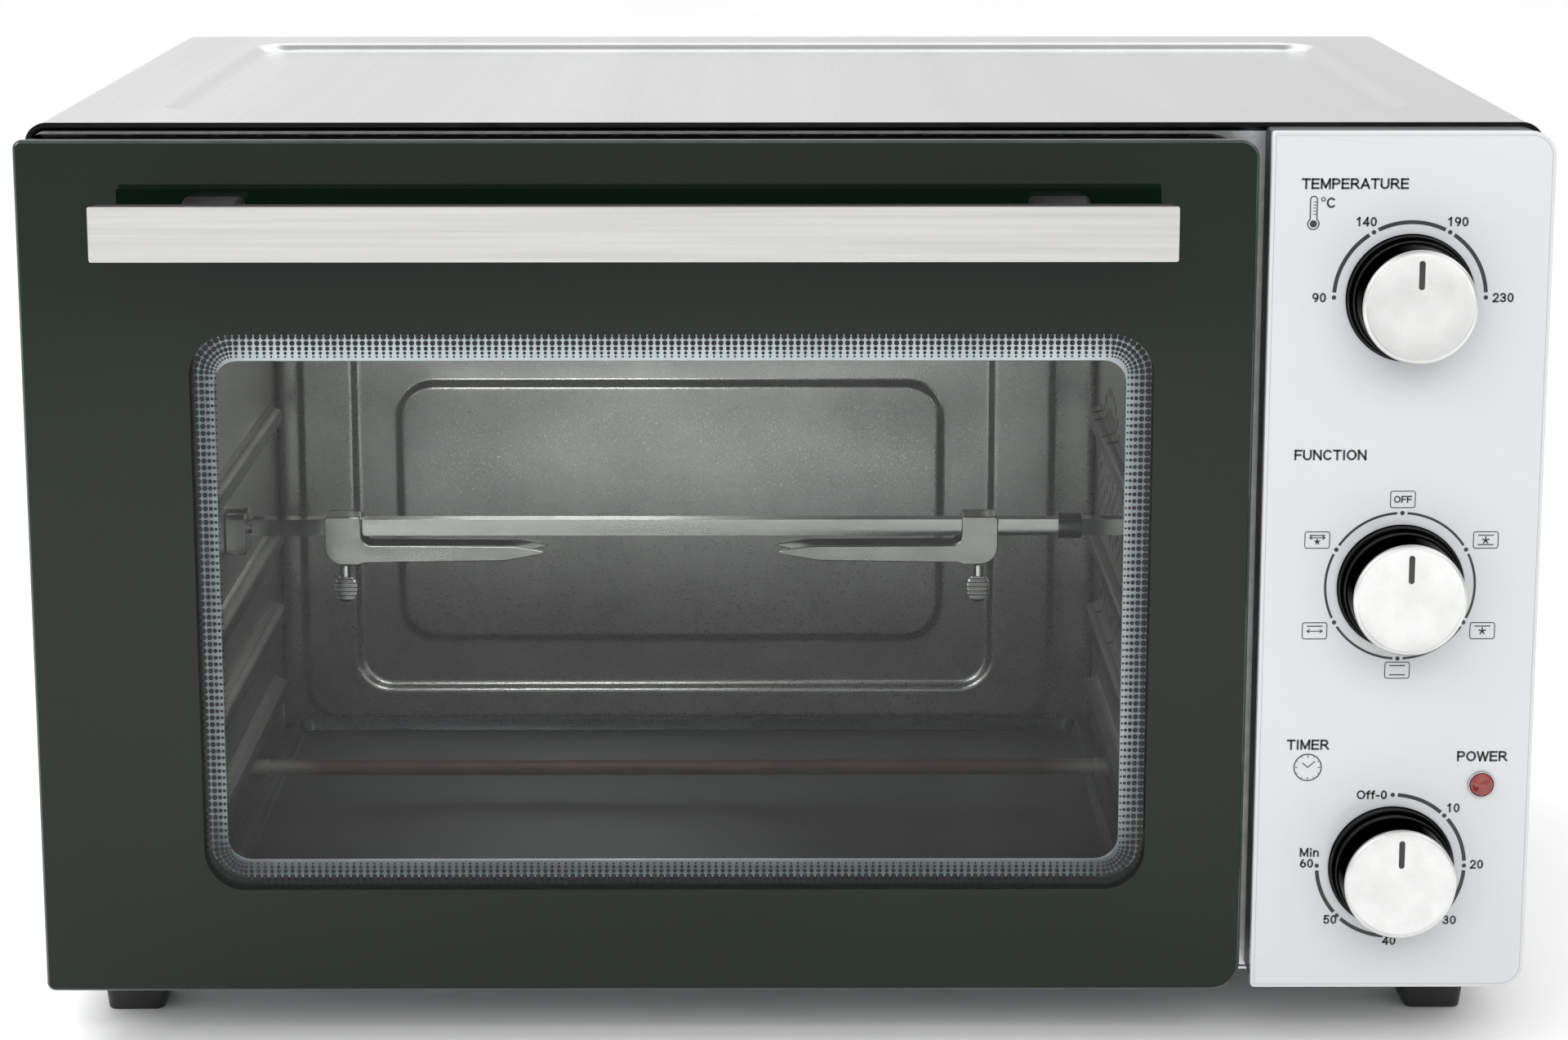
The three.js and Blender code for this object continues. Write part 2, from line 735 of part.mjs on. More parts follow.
// Distances count forwards from the face of the panel glass.
function knob() {
  const face = knobHeight - knobCapThickness;
  const skirt = [
    [0, 0.8], [knobRadius, 0.8], [knobRadius, 2.2], [knobRadius - 0.8, 3],
    [knobRadius - 1.3, 7.6], [knobRadius - 2.1, 8], [knobFaceRadius - 0.1, face - clearance],
    [0, face - clearance],
  ];
  const socket = rodY(-knobSocketDepth, 0, 0, 0, knobShaftRadius + clearance, 12);
  return turnedForward(skirt, 28).subtract(socket);
}

function knobCap() {
  const [low, high] = [knobHeight - knobCapThickness, knobHeight];
  const disc = [
    [0, low], [knobFaceRadius, low], [knobFaceRadius, high - knobBevel],
    [knobFaceRadius - knobBevel, high], [0, high],
  ];
  const { halfWidth, depth } = knobPointer;
  const groove = box(-halfWidth, halfWidth, -high - 1, -high + depth, knobPointer.low, knobPointer.high);
  return turnedForward(disc, 28).subtract(groove);
}

// The flat side of the shaft faces up.
function knobShaft() {
  const behind = fasciaDepth + sheet + 8;
  const front = 1 - knobSocketDepth;
  const flat = box(-5, 5, front + 1, -2, knobShaftFlat, knobShaftRadius + 1);
  return rodY(front, behind, 0, 0, knobShaftRadius, 12).subtract(flat);
}

// Controls stand behind the front frame, centred on their shaft.
function controlUnit(outline, depth) {
  const front = fasciaDepth + sheet + clearance;
  const boreEnd = front + 11;
  const bore = rodY(front - 1, boreEnd, 0, 0, knobShaftRadius + clearance, 12);
  return alongY(outline, front, front + depth).subtract(bore);
}

function indicatorLens() {
  const behind = fasciaDepth - lampLength - 1.5;
  return turnedForward([
    [0, -behind], [lensStemRadius, -behind], [lensStemRadius, clearance], [lensRadius, clearance],
    [lensRadius, 0.9], [lensRadius * 0.85, 1.6], [lensRadius * 0.5, 2.1], [0, 2.3],
  ], 20);
}

function buildControls() {
  add(body, 'control_panel_glass', panelGlass(), 'panelGlass');
  add(body, 'control_panel_housing', panelHousing(), 'blackPlastic');
  add(body, 'indicator_lens', indicatorLens(), 'redLens', [lensX, glassFrontY, lensZ]);
  const lamp = rodY(fasciaDepth - lampLength - 1, fasciaDepth - 1, 0, 0, lampRadius, 12);
  add(body, 'indicator_lamp', lamp, 'redLens', [lensX, glassFrontY, lensZ]);

  const units = {
    thermostat: ['temperature', rectangle(-16, 16, -20, 20, 2), 24],
    function_switch: ['function', rectangle(-19, 19, -19, 19, 12), 28],
    timer_unit: ['timer', rectangle(-24, 24, -22, 22, 4), 34],
  };
  for (const [name, [dial, outline, depth]] of Object.entries(units)) {
    const place = [knobX, glassFrontY, knobHeights[dial]];
    add(body, name, controlUnit(outline, depth), 'control', place);
  }
  for (const [dial, z] of Object.entries(knobHeights)) {
    const turning = group();
    turning.position.set(knobX, glassFrontY, z);
    add(turning, `${dial}_knob`, knob(), 'darkChrome');
    add(turning, `${dial}_knob_cap`, knobCap(), 'satinCap');
    add(turning, `${dial}_shaft`, knobShaft(), 'steel');
  }
}

// ---------------------------------------------------------------- door

// The room that the fixed hinge tongue needs in the door while the door turns round it.
function hingeRoom(side) {
  const edge = doorFrameInset + hingeEdge;
  const left = side < 0 ? doorLeft + edge : doorRight - edge - hingeNotch;
  const reach = hingeNoseRadius + 1;
  return box(left, left + hingeNotch, hingeY - reach, bodyFrontY, baseZ - 1, hingeZ + reach);
}

function doorFrame() {
  const wall = doorFrameWall;
  const [front, back] = [doorFrameFrontY, doorFrameBackY];
  const edge = {
    left: doorLeft + doorFrameInset,
    right: doorRight - doorFrameInset,
    low: baseZ + doorFrameLift,
    high: doorTop,
  };
  const outer = alongY(outlined(edge, [3, 9, frameChamfer, 3]), front, back, 3);
  const opening = alongY(outlined(windowOutline, windowCorner, 1), front - 1, back + 1, 3);
  const core = outlined(windowOutline, windowCorner + wall, 1 + wall);
  const kept = [alongY(core, front, back + 2, 3)];
  for (const side of [-1, 1]) {
    const left = side < 0 ? edge.left : edge.right - hingeBlock;
    const top = edge.low + hingeBlockHeight;
    kept.push(box(left, left + hingeBlock, front, back + 2, edge.low - 1, top));
  }
  const hollow = outlined(edge, [2, 8, frameChamfer - 1, 2], -wall);
  const channel = cut(alongY(hollow, front + wall, back + 1, 3), kept);
  const tools = [opening, channel];
  const { width, depth, pitch, fromBack, ends } = doorVents;
  const slots = Math.floor((doorRight - doorLeft - 2 * ends) / pitch);
  const first = doorMiddle - (pitch * slots) / 2 + (pitch - width) / 2;
  const slotBack = back - fromBack;
  for (let i = 0; i < slots; i += 1) {
    const x = first + pitch * i;
    tools.push(box(x, x + width, slotBack - depth, slotBack, doorTop - 2 * wall, doorTop + 1));
  }
  for (const side of [-1, 1]) tools.push(hingeRoom(side), hingePin(side, clearance));
  return cut(outer, tools);
}

function doorInnerFrame() {
  const edge = {
    left: doorLeft + doorFrameInset + 1,
    right: doorRight - doorFrameInset - 1,
    low: baseZ + doorFrameLift + 1,
    high: doorTop - 2,
  };
  const plate = alongY(outlined(edge, [3, 9, frameChamfer, 3]), innerFrameY, doorBackY, 3);
  const [front, back] = [innerFrameY - 1, doorBackY + 1];
  const opening = alongY(outlined(innerOutline, innerWindow.corner), front, back, 3);
  return cut(plate, [opening, hingeRoom(-1), hingeRoom(1)]);
}

function doorInnerGlass() {
  const back = innerFrameY - clearance;
  const shape = outlined(windowOutline, windowCorner - paneMargin, 1 - paneMargin);
  return alongY(shape, back - paneThickness, back, 3);
}

// Side is -1 at the left end of the door and +1 at the right end.
function hingePin(side, grow = 0) {
  const edge = doorFrameInset + 1.5;
  const length = hingeEdge + hingeNotch + hingePinReach;
  const left = side < 0 ? doorLeft + edge : doorRight - edge - length;
  return rodX(left - grow, left + length + grow, hingeY, hingeZ, hingePinRadius + grow, 12);
}

// A tongue on a foot plate, standing on the front frame; the pin turns in its eye.
function hingeBracket(side) {
  const edge = doorFrameInset + hingeEdge + (hingeNotch - hingeTongue) / 2;
  const left = side < 0 ? doorLeft + edge : doorRight - edge - hingeTongue;
  const root = bodyFrontY - clearance;
  const nose = hingeNoseRadius;
  const shape = new THREE.Shape();
  shape.moveTo(root, hingeZ - nose);
  shape.lineTo(root, hingeZ + nose);
  shape.absarc(hingeY, hingeZ, nose, Math.PI / 2, (3 * Math.PI) / 2, false);
  shape.closePath();
  const eye = rodX(left - 1, left + hingeTongue + 1, hingeY, hingeZ, hingePinRadius + clearance, 12);
  const tongue = alongX(shape, left, left + hingeTongue, 3).subtract(eye);
  const plate = hingeNotch / 2 - 1.5;
  const middle = left + hingeTongue / 2;
  return tongue.add(box(middle - plate, middle + plate, root - 1, root, hingeZ - 3.2, hingeZ + 7));
}

function handleBody() {
  const left = doorLeft + handleSide + 0.8;
  const right = doorRight - handleSide - 0.8;
  const high = doorTop - handleTopDrop - 0.4;
  const low = high - handleHeight + 0.8;
  const barFront = handleFrontY + handleSkin + clearance;
  const barBack = handleFrontY + handleThickness;
  let made = alongY(rectangle(left, right, low, high, 1), barFront, barBack);
  for (const side of [-1, 1]) {
    const x = doorMiddle + (side * handleLegSpacing) / 2;
    const half = handleLegWidth / 2;
    const leg = loft([
      ring(x - half, x + half, low + 3, high - 1.2, 2, atDepth(barBack - 1)),
      ring(x - half - 1, x + half + 1, low + 1.5, high, 2, atDepth(glassFrontY - clearance)),
    ]);
    made = made.add(leg);
  }
  return made;
}

function handlePlate() {
  const left = doorLeft + handleSide;
  const right = doorRight - handleSide;
  const high = doorTop - handleTopDrop;
  const shape = rectangle(left, right, high - handleHeight, high, 0.8);
  return alongY(shape, handleFrontY, handleFrontY + handleSkin);
}

function buildDoor() {
  const glass = alongY(outlined(doorOutline, glassCorners), glassFrontY, glassBackY, 3);
  add(door, 'door_outer_glass', glass, 'darkGlass');
  add(door, 'door_frame', doorFrame(), 'blackEnamel');
  add(door, 'door_inner_frame', doorInnerFrame(), 'liner');
  add(door, 'door_inner_glass', doorInnerGlass(), 'clearGlass');
  add(door, 'handle_body', handleBody(), 'blackPlastic');
  add(door, 'handle_plate', handlePlate(), 'brushed');
  for (const [name, side] of [['left', -1], ['right', 1]]) {
    add(door, `hinge_pin_${name}`, hingePin(side), 'steel');
    add(body, `hinge_bracket_${name}`, hingeBracket(side), 'galvanised');
  }
}

// ---------------------------------------------------------------- rotisserie

// An open cradle on the left wall; the spit drops into it from above.
function spitCradle() {
  const [left, right] = [cavityLeft + clearance, cavityLeft + 8];
  const reach = spitJournalRadius + runningGap;
  const block = alongX(rectangle(spitY - 9, spitY + 9, spitZ - 10, spitZ + 6, 2), left, right);
  const seat = rodX(left - 1, right + 1, spitY, spitZ, reach, 16);
  const mouth = box(left - 1, right + 1, spitY - reach, spitY + reach, spitZ, spitZ + 10);
  return block.subtract(seat).subtract(mouth);
}

function spitRod() {
  const half = spitSide / 2;
  const journalEnd = cavityLeft + 10;
  const right = wallOutside + couplingReach - 4;
  const bar = box(journalEnd, right, spitY - half, spitY + half, spitZ - half, spitZ + half);
  const journal = rodX(cavityLeft + 1.5, journalEnd + 1, spitY, spitZ, spitJournalRadius);
  const collarRight = cavityRight - spitCollarFromWall;
  const collar = rodX(collarRight - spitCollarWidth, collarRight, spitY, spitZ, spitCollarRadius);
  return bar.add(journal).add(collar);
}

function driveCoupling() {
  const [left, right] = [cavityRight - 2, wallOutside + couplingReach];
  const hub = rodX(left, right, spitY, spitZ, couplingRadius, 20);
  const shaft = rodX(right - 1, right + driveShaftLength, spitY, spitZ, couplingShaftRadius, 12);
  const half = spitSide / 2 + clearance;
  const socket = box(left - 1, right - 3, spitY - half, spitY + half, spitZ - half, spitZ + half);
  return hub.add(shaft).subtract(socket);
}

function driveMotor() {
  const [left, right] = [driveMotorX, driveMotorX + driveMotorDepth];
  const can = rodX(left, right, spitY, spitZ, driveMotorRadius, 28);
  const ears = alongX(rectangle(spitY - 30, spitY + 30, spitZ - 6, spitZ + 6, 5), left, left + 2);
  const bore = rodX(left - 1, left + 14, spitY, spitZ, couplingShaftRadius + clearance, 12);
  return can.add(ears).subtract(bore);
}

// Round the spit's axis at the origin, with the prongs towards +X.
function spitFork() {
  const half = forkWidth / 2;
  const side = forkDepth / 2;
  const hole = spitSide / 2 + runningGap;
  const profile = rectangle(-half, half, -forkBelow, forkAbove, [7, 1, 1, 1]);
  let made = alongY(profile, -side, side);
  made = made.subtract(box(-half - 1, half + 1, -hole, hole, -hole, hole));
  for (const sign of [-1, 1]) {
    const outside = sign * side;
    const inside = sign * (side - prongThickness);
    const blade = new THREE.Shape();
    blade.moveTo(0, -forkBelow + 1);
    blade.lineTo(half + prongLength - 14, -forkBelow + 1);
    blade.lineTo(half + prongLength, -forkBelow + 1 + prongHeight * 0.6);
    blade.lineTo(half + prongLength - 10, -forkBelow + 1 + prongHeight);
    blade.lineTo(0, -forkBelow + 1 + prongHeight);
    blade.closePath();
    made = made.add(alongY(blade, Math.min(outside, inside), Math.max(outside, inside)));
  }
  return made.subtract(rodZ(-forkBelow - 1, 0, 0, 0, thumbShaftRadius + clearance, 12));
}

// Round the spit's axis at the origin, hanging down from the fork.
function thumbScrew() {
  const tip = -(spitSide / 2) - 0.9;
  const top = -forkBelow - thumbNeck;
  const shaft = rodZ(top - 2, tip, 0, 0, thumbShaftRadius, 12);
  const oval = new THREE.Shape();
  oval.absellipse(0, top - thumbHeight / 2, thumbWidth / 2, thumbHeight / 2, 0, 2 * Math.PI);
  return shaft.add(alongY(oval, -thumbThickness / 2, thumbThickness / 2, 8));
}

function buildSpit() {
  add(body, 'spit_cradle', spitCradle(), 'steel');
  add(body, 'rotisserie_motor', driveMotor(), 'motor');
  add(spit, 'spit_rod', spitRod(), 'steel');
  add(spit, 'drive_coupling', driveCoupling(), 'steel');
  const forks = {
    left: [cavityLeft + forkLeftFromWall, 0],
    right: [cavityRight - forkRightFromWall, Math.PI],
  };
  for (const [side, [x, turn]] of Object.entries(forks)) {
    const sliding = group(spit);
    sliding.position.set(x, spitY, spitZ);
    sliding.rotation.z = turn;
    add(sliding, `fork_${side}`, spitFork(), 'steel');
    add(sliding, `thumb_screw_${side}`, thumbScrew(), 'steel');
  }
}

// ---------------------------------------------------------------- fan and wiring

function fanHousing() {
  const [left, right] = [wallOutside + clearance, wallOutside + clearance + fanHousingDepth];
  const drum = rodX(left, right, fanY, fanZ, fanHousingRadius, 36);
  const room = rodX(left - 1, right - sheet, fanY, fanZ, fanHousingRadius - sheet, 36);
  const eye = rodX(left, right + 1, fanY, fanZ, fanShaftRadius + runningGap, 12);
  return drum.subtract(room).subtract(eye);
}

function fanImpeller() {
  const plateX = wallOutside + fanHousingDepth - 3;
  const bladeX = plateX - fanBladeWidth;
  let made = rodX(plateX - 1.2, plateX, fanY, fanZ, fanRadius, 32);
  made = made.add(rodX(bladeX, plateX, fanY, fanZ, 8, 16));
  made = made.add(rodX(plateX - 1, fanMotorX + 12, fanY, fanZ, fanShaftRadius, 12));
  for (let i = 0; i < fanBlades; i += 1) {
    const blade = new THREE.BoxGeometry(fanBladeWidth, fanRadius - 7, 1.2);
    blade.translate(bladeX + fanBladeWidth / 2, (fanRadius + 5) / 2, 0);
    blade.rotateX((2 * Math.PI * i) / fanBlades);
    blade.translate(0, fanY, fanZ);
    made = made.add(solid(blade));
  }
  return made;
}

function fanMotor() {
  const [left, right] = [fanMotorX, fanMotorX + fanMotorDepth];
  const r = fanMotorRadius;
  const stack = alongX(rectangle(fanY - r, fanY + r, fanZ - r, fanZ + r, 4), left + 6, right - 6);
  const ends = rodX(left, right, fanY, fanZ, r * 0.7, 20);
  const bore = rodX(left - 1, left + 14, fanY, fanZ, fanShaftRadius + clearance, 12);
  return stack.add(ends).subtract(bore);
}

function terminalBlock() {
  const { width, depth, height, pitch, radius } = terminals;
  const [left, low] = [knobX - width / 2, baseZ + sheet + clearance];
  const front = casingBackY - terminals.fromBack;
  const wells = [-1, 0, 1].map((place) => (
    rodZ(low + height / 2, low + height + 1, knobX + pitch * place, front + depth / 2, radius, 12)));
  return cut(box(left, left + width, front, front + depth, low, low + height), wells);
}

function buildDrives() {
  add(body, 'fan_housing', fanHousing(), 'galvanised');
  add(body, 'fan_motor', fanMotor(), 'motor');
  add(body, 'terminal_block', terminalBlock(), 'control');
  add(group(), 'fan_impeller', fanImpeller(), 'galvanised');
}

buildShell();
buildLiner();
buildHeating();
buildControls();
buildDoor();
buildSpit();
buildDrives();

export default oven;
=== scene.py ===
# Looks of a worktop rotisserie oven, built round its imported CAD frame. Metres, +Z up, front towards -Y.

import json
import math

import bmesh
import bpy
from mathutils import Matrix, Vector

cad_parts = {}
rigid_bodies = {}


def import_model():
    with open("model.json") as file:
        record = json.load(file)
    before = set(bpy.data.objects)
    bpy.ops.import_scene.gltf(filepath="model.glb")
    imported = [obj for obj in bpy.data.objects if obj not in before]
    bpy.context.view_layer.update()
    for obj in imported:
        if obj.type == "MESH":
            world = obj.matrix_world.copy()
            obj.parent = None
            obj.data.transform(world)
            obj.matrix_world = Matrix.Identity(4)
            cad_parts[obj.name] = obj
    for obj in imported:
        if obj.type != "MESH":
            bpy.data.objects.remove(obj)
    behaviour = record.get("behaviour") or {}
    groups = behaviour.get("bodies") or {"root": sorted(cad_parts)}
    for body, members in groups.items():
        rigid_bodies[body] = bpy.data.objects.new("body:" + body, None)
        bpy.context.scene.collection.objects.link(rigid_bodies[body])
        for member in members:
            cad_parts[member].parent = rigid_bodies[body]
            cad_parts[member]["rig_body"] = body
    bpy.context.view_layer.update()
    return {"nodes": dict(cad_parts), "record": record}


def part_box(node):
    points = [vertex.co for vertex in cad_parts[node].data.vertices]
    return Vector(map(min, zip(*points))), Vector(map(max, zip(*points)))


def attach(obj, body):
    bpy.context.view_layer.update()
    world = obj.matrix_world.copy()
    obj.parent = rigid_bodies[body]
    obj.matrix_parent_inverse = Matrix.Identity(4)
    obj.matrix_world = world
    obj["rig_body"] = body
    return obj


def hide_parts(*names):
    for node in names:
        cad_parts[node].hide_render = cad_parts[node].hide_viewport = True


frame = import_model()

MM = 0.001
nodes = frame["nodes"]
node_body = {name: node["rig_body"] for name, node in nodes.items()}
record_slot = {part["node"]: part["material_slot"] for part in frame["record"]["subparts"]}


# ------------------------------------------------------------------ places taken from the frame

def low(node):
    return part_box(node)[0]


def high(node):
    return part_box(node)[1]


def middle(node):
    a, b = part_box(node)
    return (Vector(a) + Vector(b)) / 2


GLASS_FRONT = low("door_outer_glass")[1]
GLASS_BACK = high("door_outer_glass")[1]
DOOR = {"left": low("door_outer_glass")[0], "right": high("door_outer_glass")[0],
        "low": low("door_outer_glass")[2], "high": high("door_outer_glass")[2]}
PANEL = {"left": low("control_panel_glass")[0], "right": high("control_panel_glass")[0],
         "low": low("control_panel_glass")[2], "high": high("control_panel_glass")[2]}
PANE_INSET = 0.5 * MM           # the inner pane reaches this far past the window print
WINDOW = {"left": low("door_inner_glass")[0] + PANE_INSET,
          "right": high("door_inner_glass")[0] - PANE_INSET,
          "low": low("door_inner_glass")[2] + PANE_INSET,
          "high": high("door_inner_glass")[2] - PANE_INSET}
WINDOW_CORNER = 14.5 * MM
BODY_FRONT = low("casing")[1]
CASING_BACK = high("casing")[1]
CASING_TOP = high("casing")[2]
CASING_LOW = low("casing")[2]
CASING_HALF = high("casing")[0]
SHEET = high("back_panel")[1] - low("back_panel")[1]
CAVITY = {"left": low("cavity_left_wall")[0] + 1 * MM, "right": high("cavity_right_wall")[0] - 1 * MM,
          "low": high("cavity_floor")[2], "high": low("cavity_ceiling")[2],
          "front": low("cavity_floor")[1], "back": high("cavity_back_wall")[1] - 1 * MM}
SPIT = middle("spit_rod")
KNOBS = {dial: middle(f"{dial}_knob_cap") for dial in ("temperature", "function", "timer")}


# ------------------------------------------------------------------ materials

def graded(tree, value, low_in, high_in, low_out, high_out):
    """A value carried from one range to another."""
    made = tree.nodes.new("ShaderNodeMapRange")
    limits = {"From Min": low_in, "From Max": high_in, "To Min": low_out, "To Max": high_out}
    for key, number in limits.items():
        made.inputs[key].default_value = number
    tree.links.new(value, made.inputs["Value"])
    return made.outputs["Result"]


class Nodes:
    """Adds nodes to one material, with short names for what is used here."""

    def __init__(self, name):
        self.material = bpy.data.materials.new(name)
        self.material.use_nodes = True
        self.tree = self.material.node_tree
        self.tree.nodes.clear()
        self.out = self.tree.nodes.new("ShaderNodeOutputMaterial")
        self.place = self.tree.nodes.new("ShaderNodeTexCoord").outputs["Object"]

    def node(self, kind, **values):
        made = self.tree.nodes.new("ShaderNode" + kind)
        for key, value in values.items():
            setattr(made, key, value)
        return made

    def link(self, a, b):
        self.tree.links.new(a, b)

    def noise(self, scale, stretch=(1, 1, 1), detail=3.0, roughness=0.55):
        spread = self.node("Mapping")
        spread.inputs["Scale"].default_value = [scale * s for s in stretch]
        self.link(self.place, spread.inputs["Vector"])
        made = self.node("TexNoise")
        made.inputs["Scale"].default_value = 1.0
        made.inputs["Detail"].default_value = detail
        made.inputs["Roughness"].default_value = roughness
        self.link(spread.outputs[0], made.inputs["Vector"])
        return made.outputs["Fac"]

    def ranged(self, value, low_in, high_in, low_out, high_out):
        return graded(self.tree, value, low_in, high_in, low_out, high_out)

    def mixed(self, fac, a, b):
        made = self.node("Mix", data_type="RGBA")
        made.inputs[6].default_value = (*a, 1)
        made.inputs[7].default_value = (*b, 1)
        self.link(fac, made.inputs[0])
        return made.outputs[2]

    def blended(self, fac, a, b):
        """Mix of two colours that come from nodes."""
        made = self.node("Mix", data_type="RGBA")
        self.link(a, made.inputs[6])
        self.link(b, made.inputs[7])
        self.link(fac, made.inputs[0])
        return made.outputs[2]

    def bump(self, height, strength, distance):
        made = self.node("Bump")
        made.inputs["Strength"].default_value = strength
        made.inputs["Distance"].default_value = distance
        self.link(height, made.inputs["Height"])
        return made.outputs["Normal"]

    def principled(self, **values):
        made = self.node("BsdfPrincipled")
        for key, value in values.items():
            made.inputs[key.replace("_", " ")].default_value = value
        self.link(made.outputs[0], self.out.inputs["Surface"])
        return made


def surface(name, dark, light, rough, metallic=0.0, grain=(1, 1, 1), cloud=60.0, fine=900.0,
            bump=0.15, depth=0.02, **sockets):
    """A surface with cloudy colour between dark and light, fine grain and uneven gloss."""
    n = Nodes(name)
    shader = n.principled(Metallic=metallic, **sockets)
    clouds = n.noise(cloud, grain, 4.0)
    grains = n.noise(fine, grain, 2.0, 0.6)
    n.link(n.mixed(n.ranged(clouds, 0.3, 0.7, 0, 1), dark, light), shader.inputs["Base Color"])
    n.link(n.ranged(grains, 0.25, 0.75, rough[0], rough[1]), shader.inputs["Roughness"])
    n.link(n.bump(grains, bump, depth * MM), shader.inputs["Normal"])
    return n.material


def edge_worn(name, dark, light, edge, rough, metallic, **sockets):
    """As surface, with a lighter tone where edges are rubbed."""
    n = Nodes(name)
    shader = n.principled(Metallic=metallic, **sockets)
    clouds = n.noise(70.0, detail=5.0)
    grains = n.noise(1400.0, detail=2.0)
    point = n.node("NewGeometry").outputs["Pointiness"]
    rubbed = n.ranged(point, 0.53, 0.62, 0, 1)
    base = n.mixed(n.ranged(clouds, 0.3, 0.7, 0, 1), dark, light)
    worn = n.mixed(clouds, edge, edge)
    n.link(n.blended(rubbed, base, worn), shader.inputs["Base Color"])
    n.link(n.ranged(grains, 0.25, 0.75, rough[0], rough[1]), shader.inputs["Roughness"])
    n.link(n.bump(grains, 0.2, 0.02 * MM), shader.inputs["Normal"])
    return n.material


def clear_pane(name, tint, smear, density):
    """Thin glass: what is behind shows through unbent, with a mirror on it that grows at a slant."""
    n = Nodes(name)
    through = n.node("BsdfTransparent")
    film = n.noise(35.0, detail=4.0)
    n.link(n.mixed(n.ranged(film, 0.35, 0.7, 0, 1), tint, [c * smear for c in tint]), through.inputs["Color"])
    mirror = n.node("BsdfGlossy")
    mirror.inputs["Color"].default_value = (1, 1, 1, 1)
    mirror.inputs["Roughness"].default_value = 0.02
    slant = n.node("Fresnel")
    slant.inputs["IOR"].default_value = density
    mix = n.node("MixShader")
    n.link(slant.outputs[0], mix.inputs[0])
    n.link(through.outputs[0], mix.inputs[1])
    n.link(mirror.outputs[0], mix.inputs[2])
    n.link(mix.outputs[0], n.out.inputs["Surface"])
    return n.material


def heater_skin():
    """A tube that heat has turned brown, with pale cold ends."""
    n = Nodes("heater_skin")
    shader = n.principled(Metallic=0.75)
    clouds = n.noise(90.0, (0.4, 1, 1), 5.0)
    axes = n.node("SeparateXYZ")
    n.link(n.place, axes.inputs[0])
    hot = n.mixed(n.ranged(clouds, 0.3, 0.7, 0, 1), (0.040, 0.022, 0.014), (0.105, 0.055, 0.034))
    cold = n.mixed(clouds, (0.20, 0.19, 0.17), (0.30, 0.29, 0.27))
    centre = (CAVITY["left"] + CAVITY["right"]) / 2
    offset = n.node("Math", operation="SUBTRACT")
    offset.inputs[1].default_value = centre
    n.link(axes.outputs[0], offset.inputs[0])
    away = n.node("Math", operation="ABSOLUTE")
    n.link(offset.outputs[0], away.inputs[0])
    reach = CAVITY["right"] - centre
    n.link(n.blended(n.ranged(away.outputs[0], reach - 0.03, reach - 0.012, 0, 1), hot, cold),
           shader.inputs["Base Color"])
    n.link(n.ranged(clouds, 0.3, 0.7, 0.42, 0.62), shader.inputs["Roughness"])
    n.link(n.bump(n.noise(1800.0), 0.25, 0.03 * MM), shader.inputs["Normal"])
    return n.material


# Noise stretched along one axis, for brushed and drawn metal.
ALONG_X = (0.012, 1, 1)
ALONG_Y = (1, 0.012, 1)

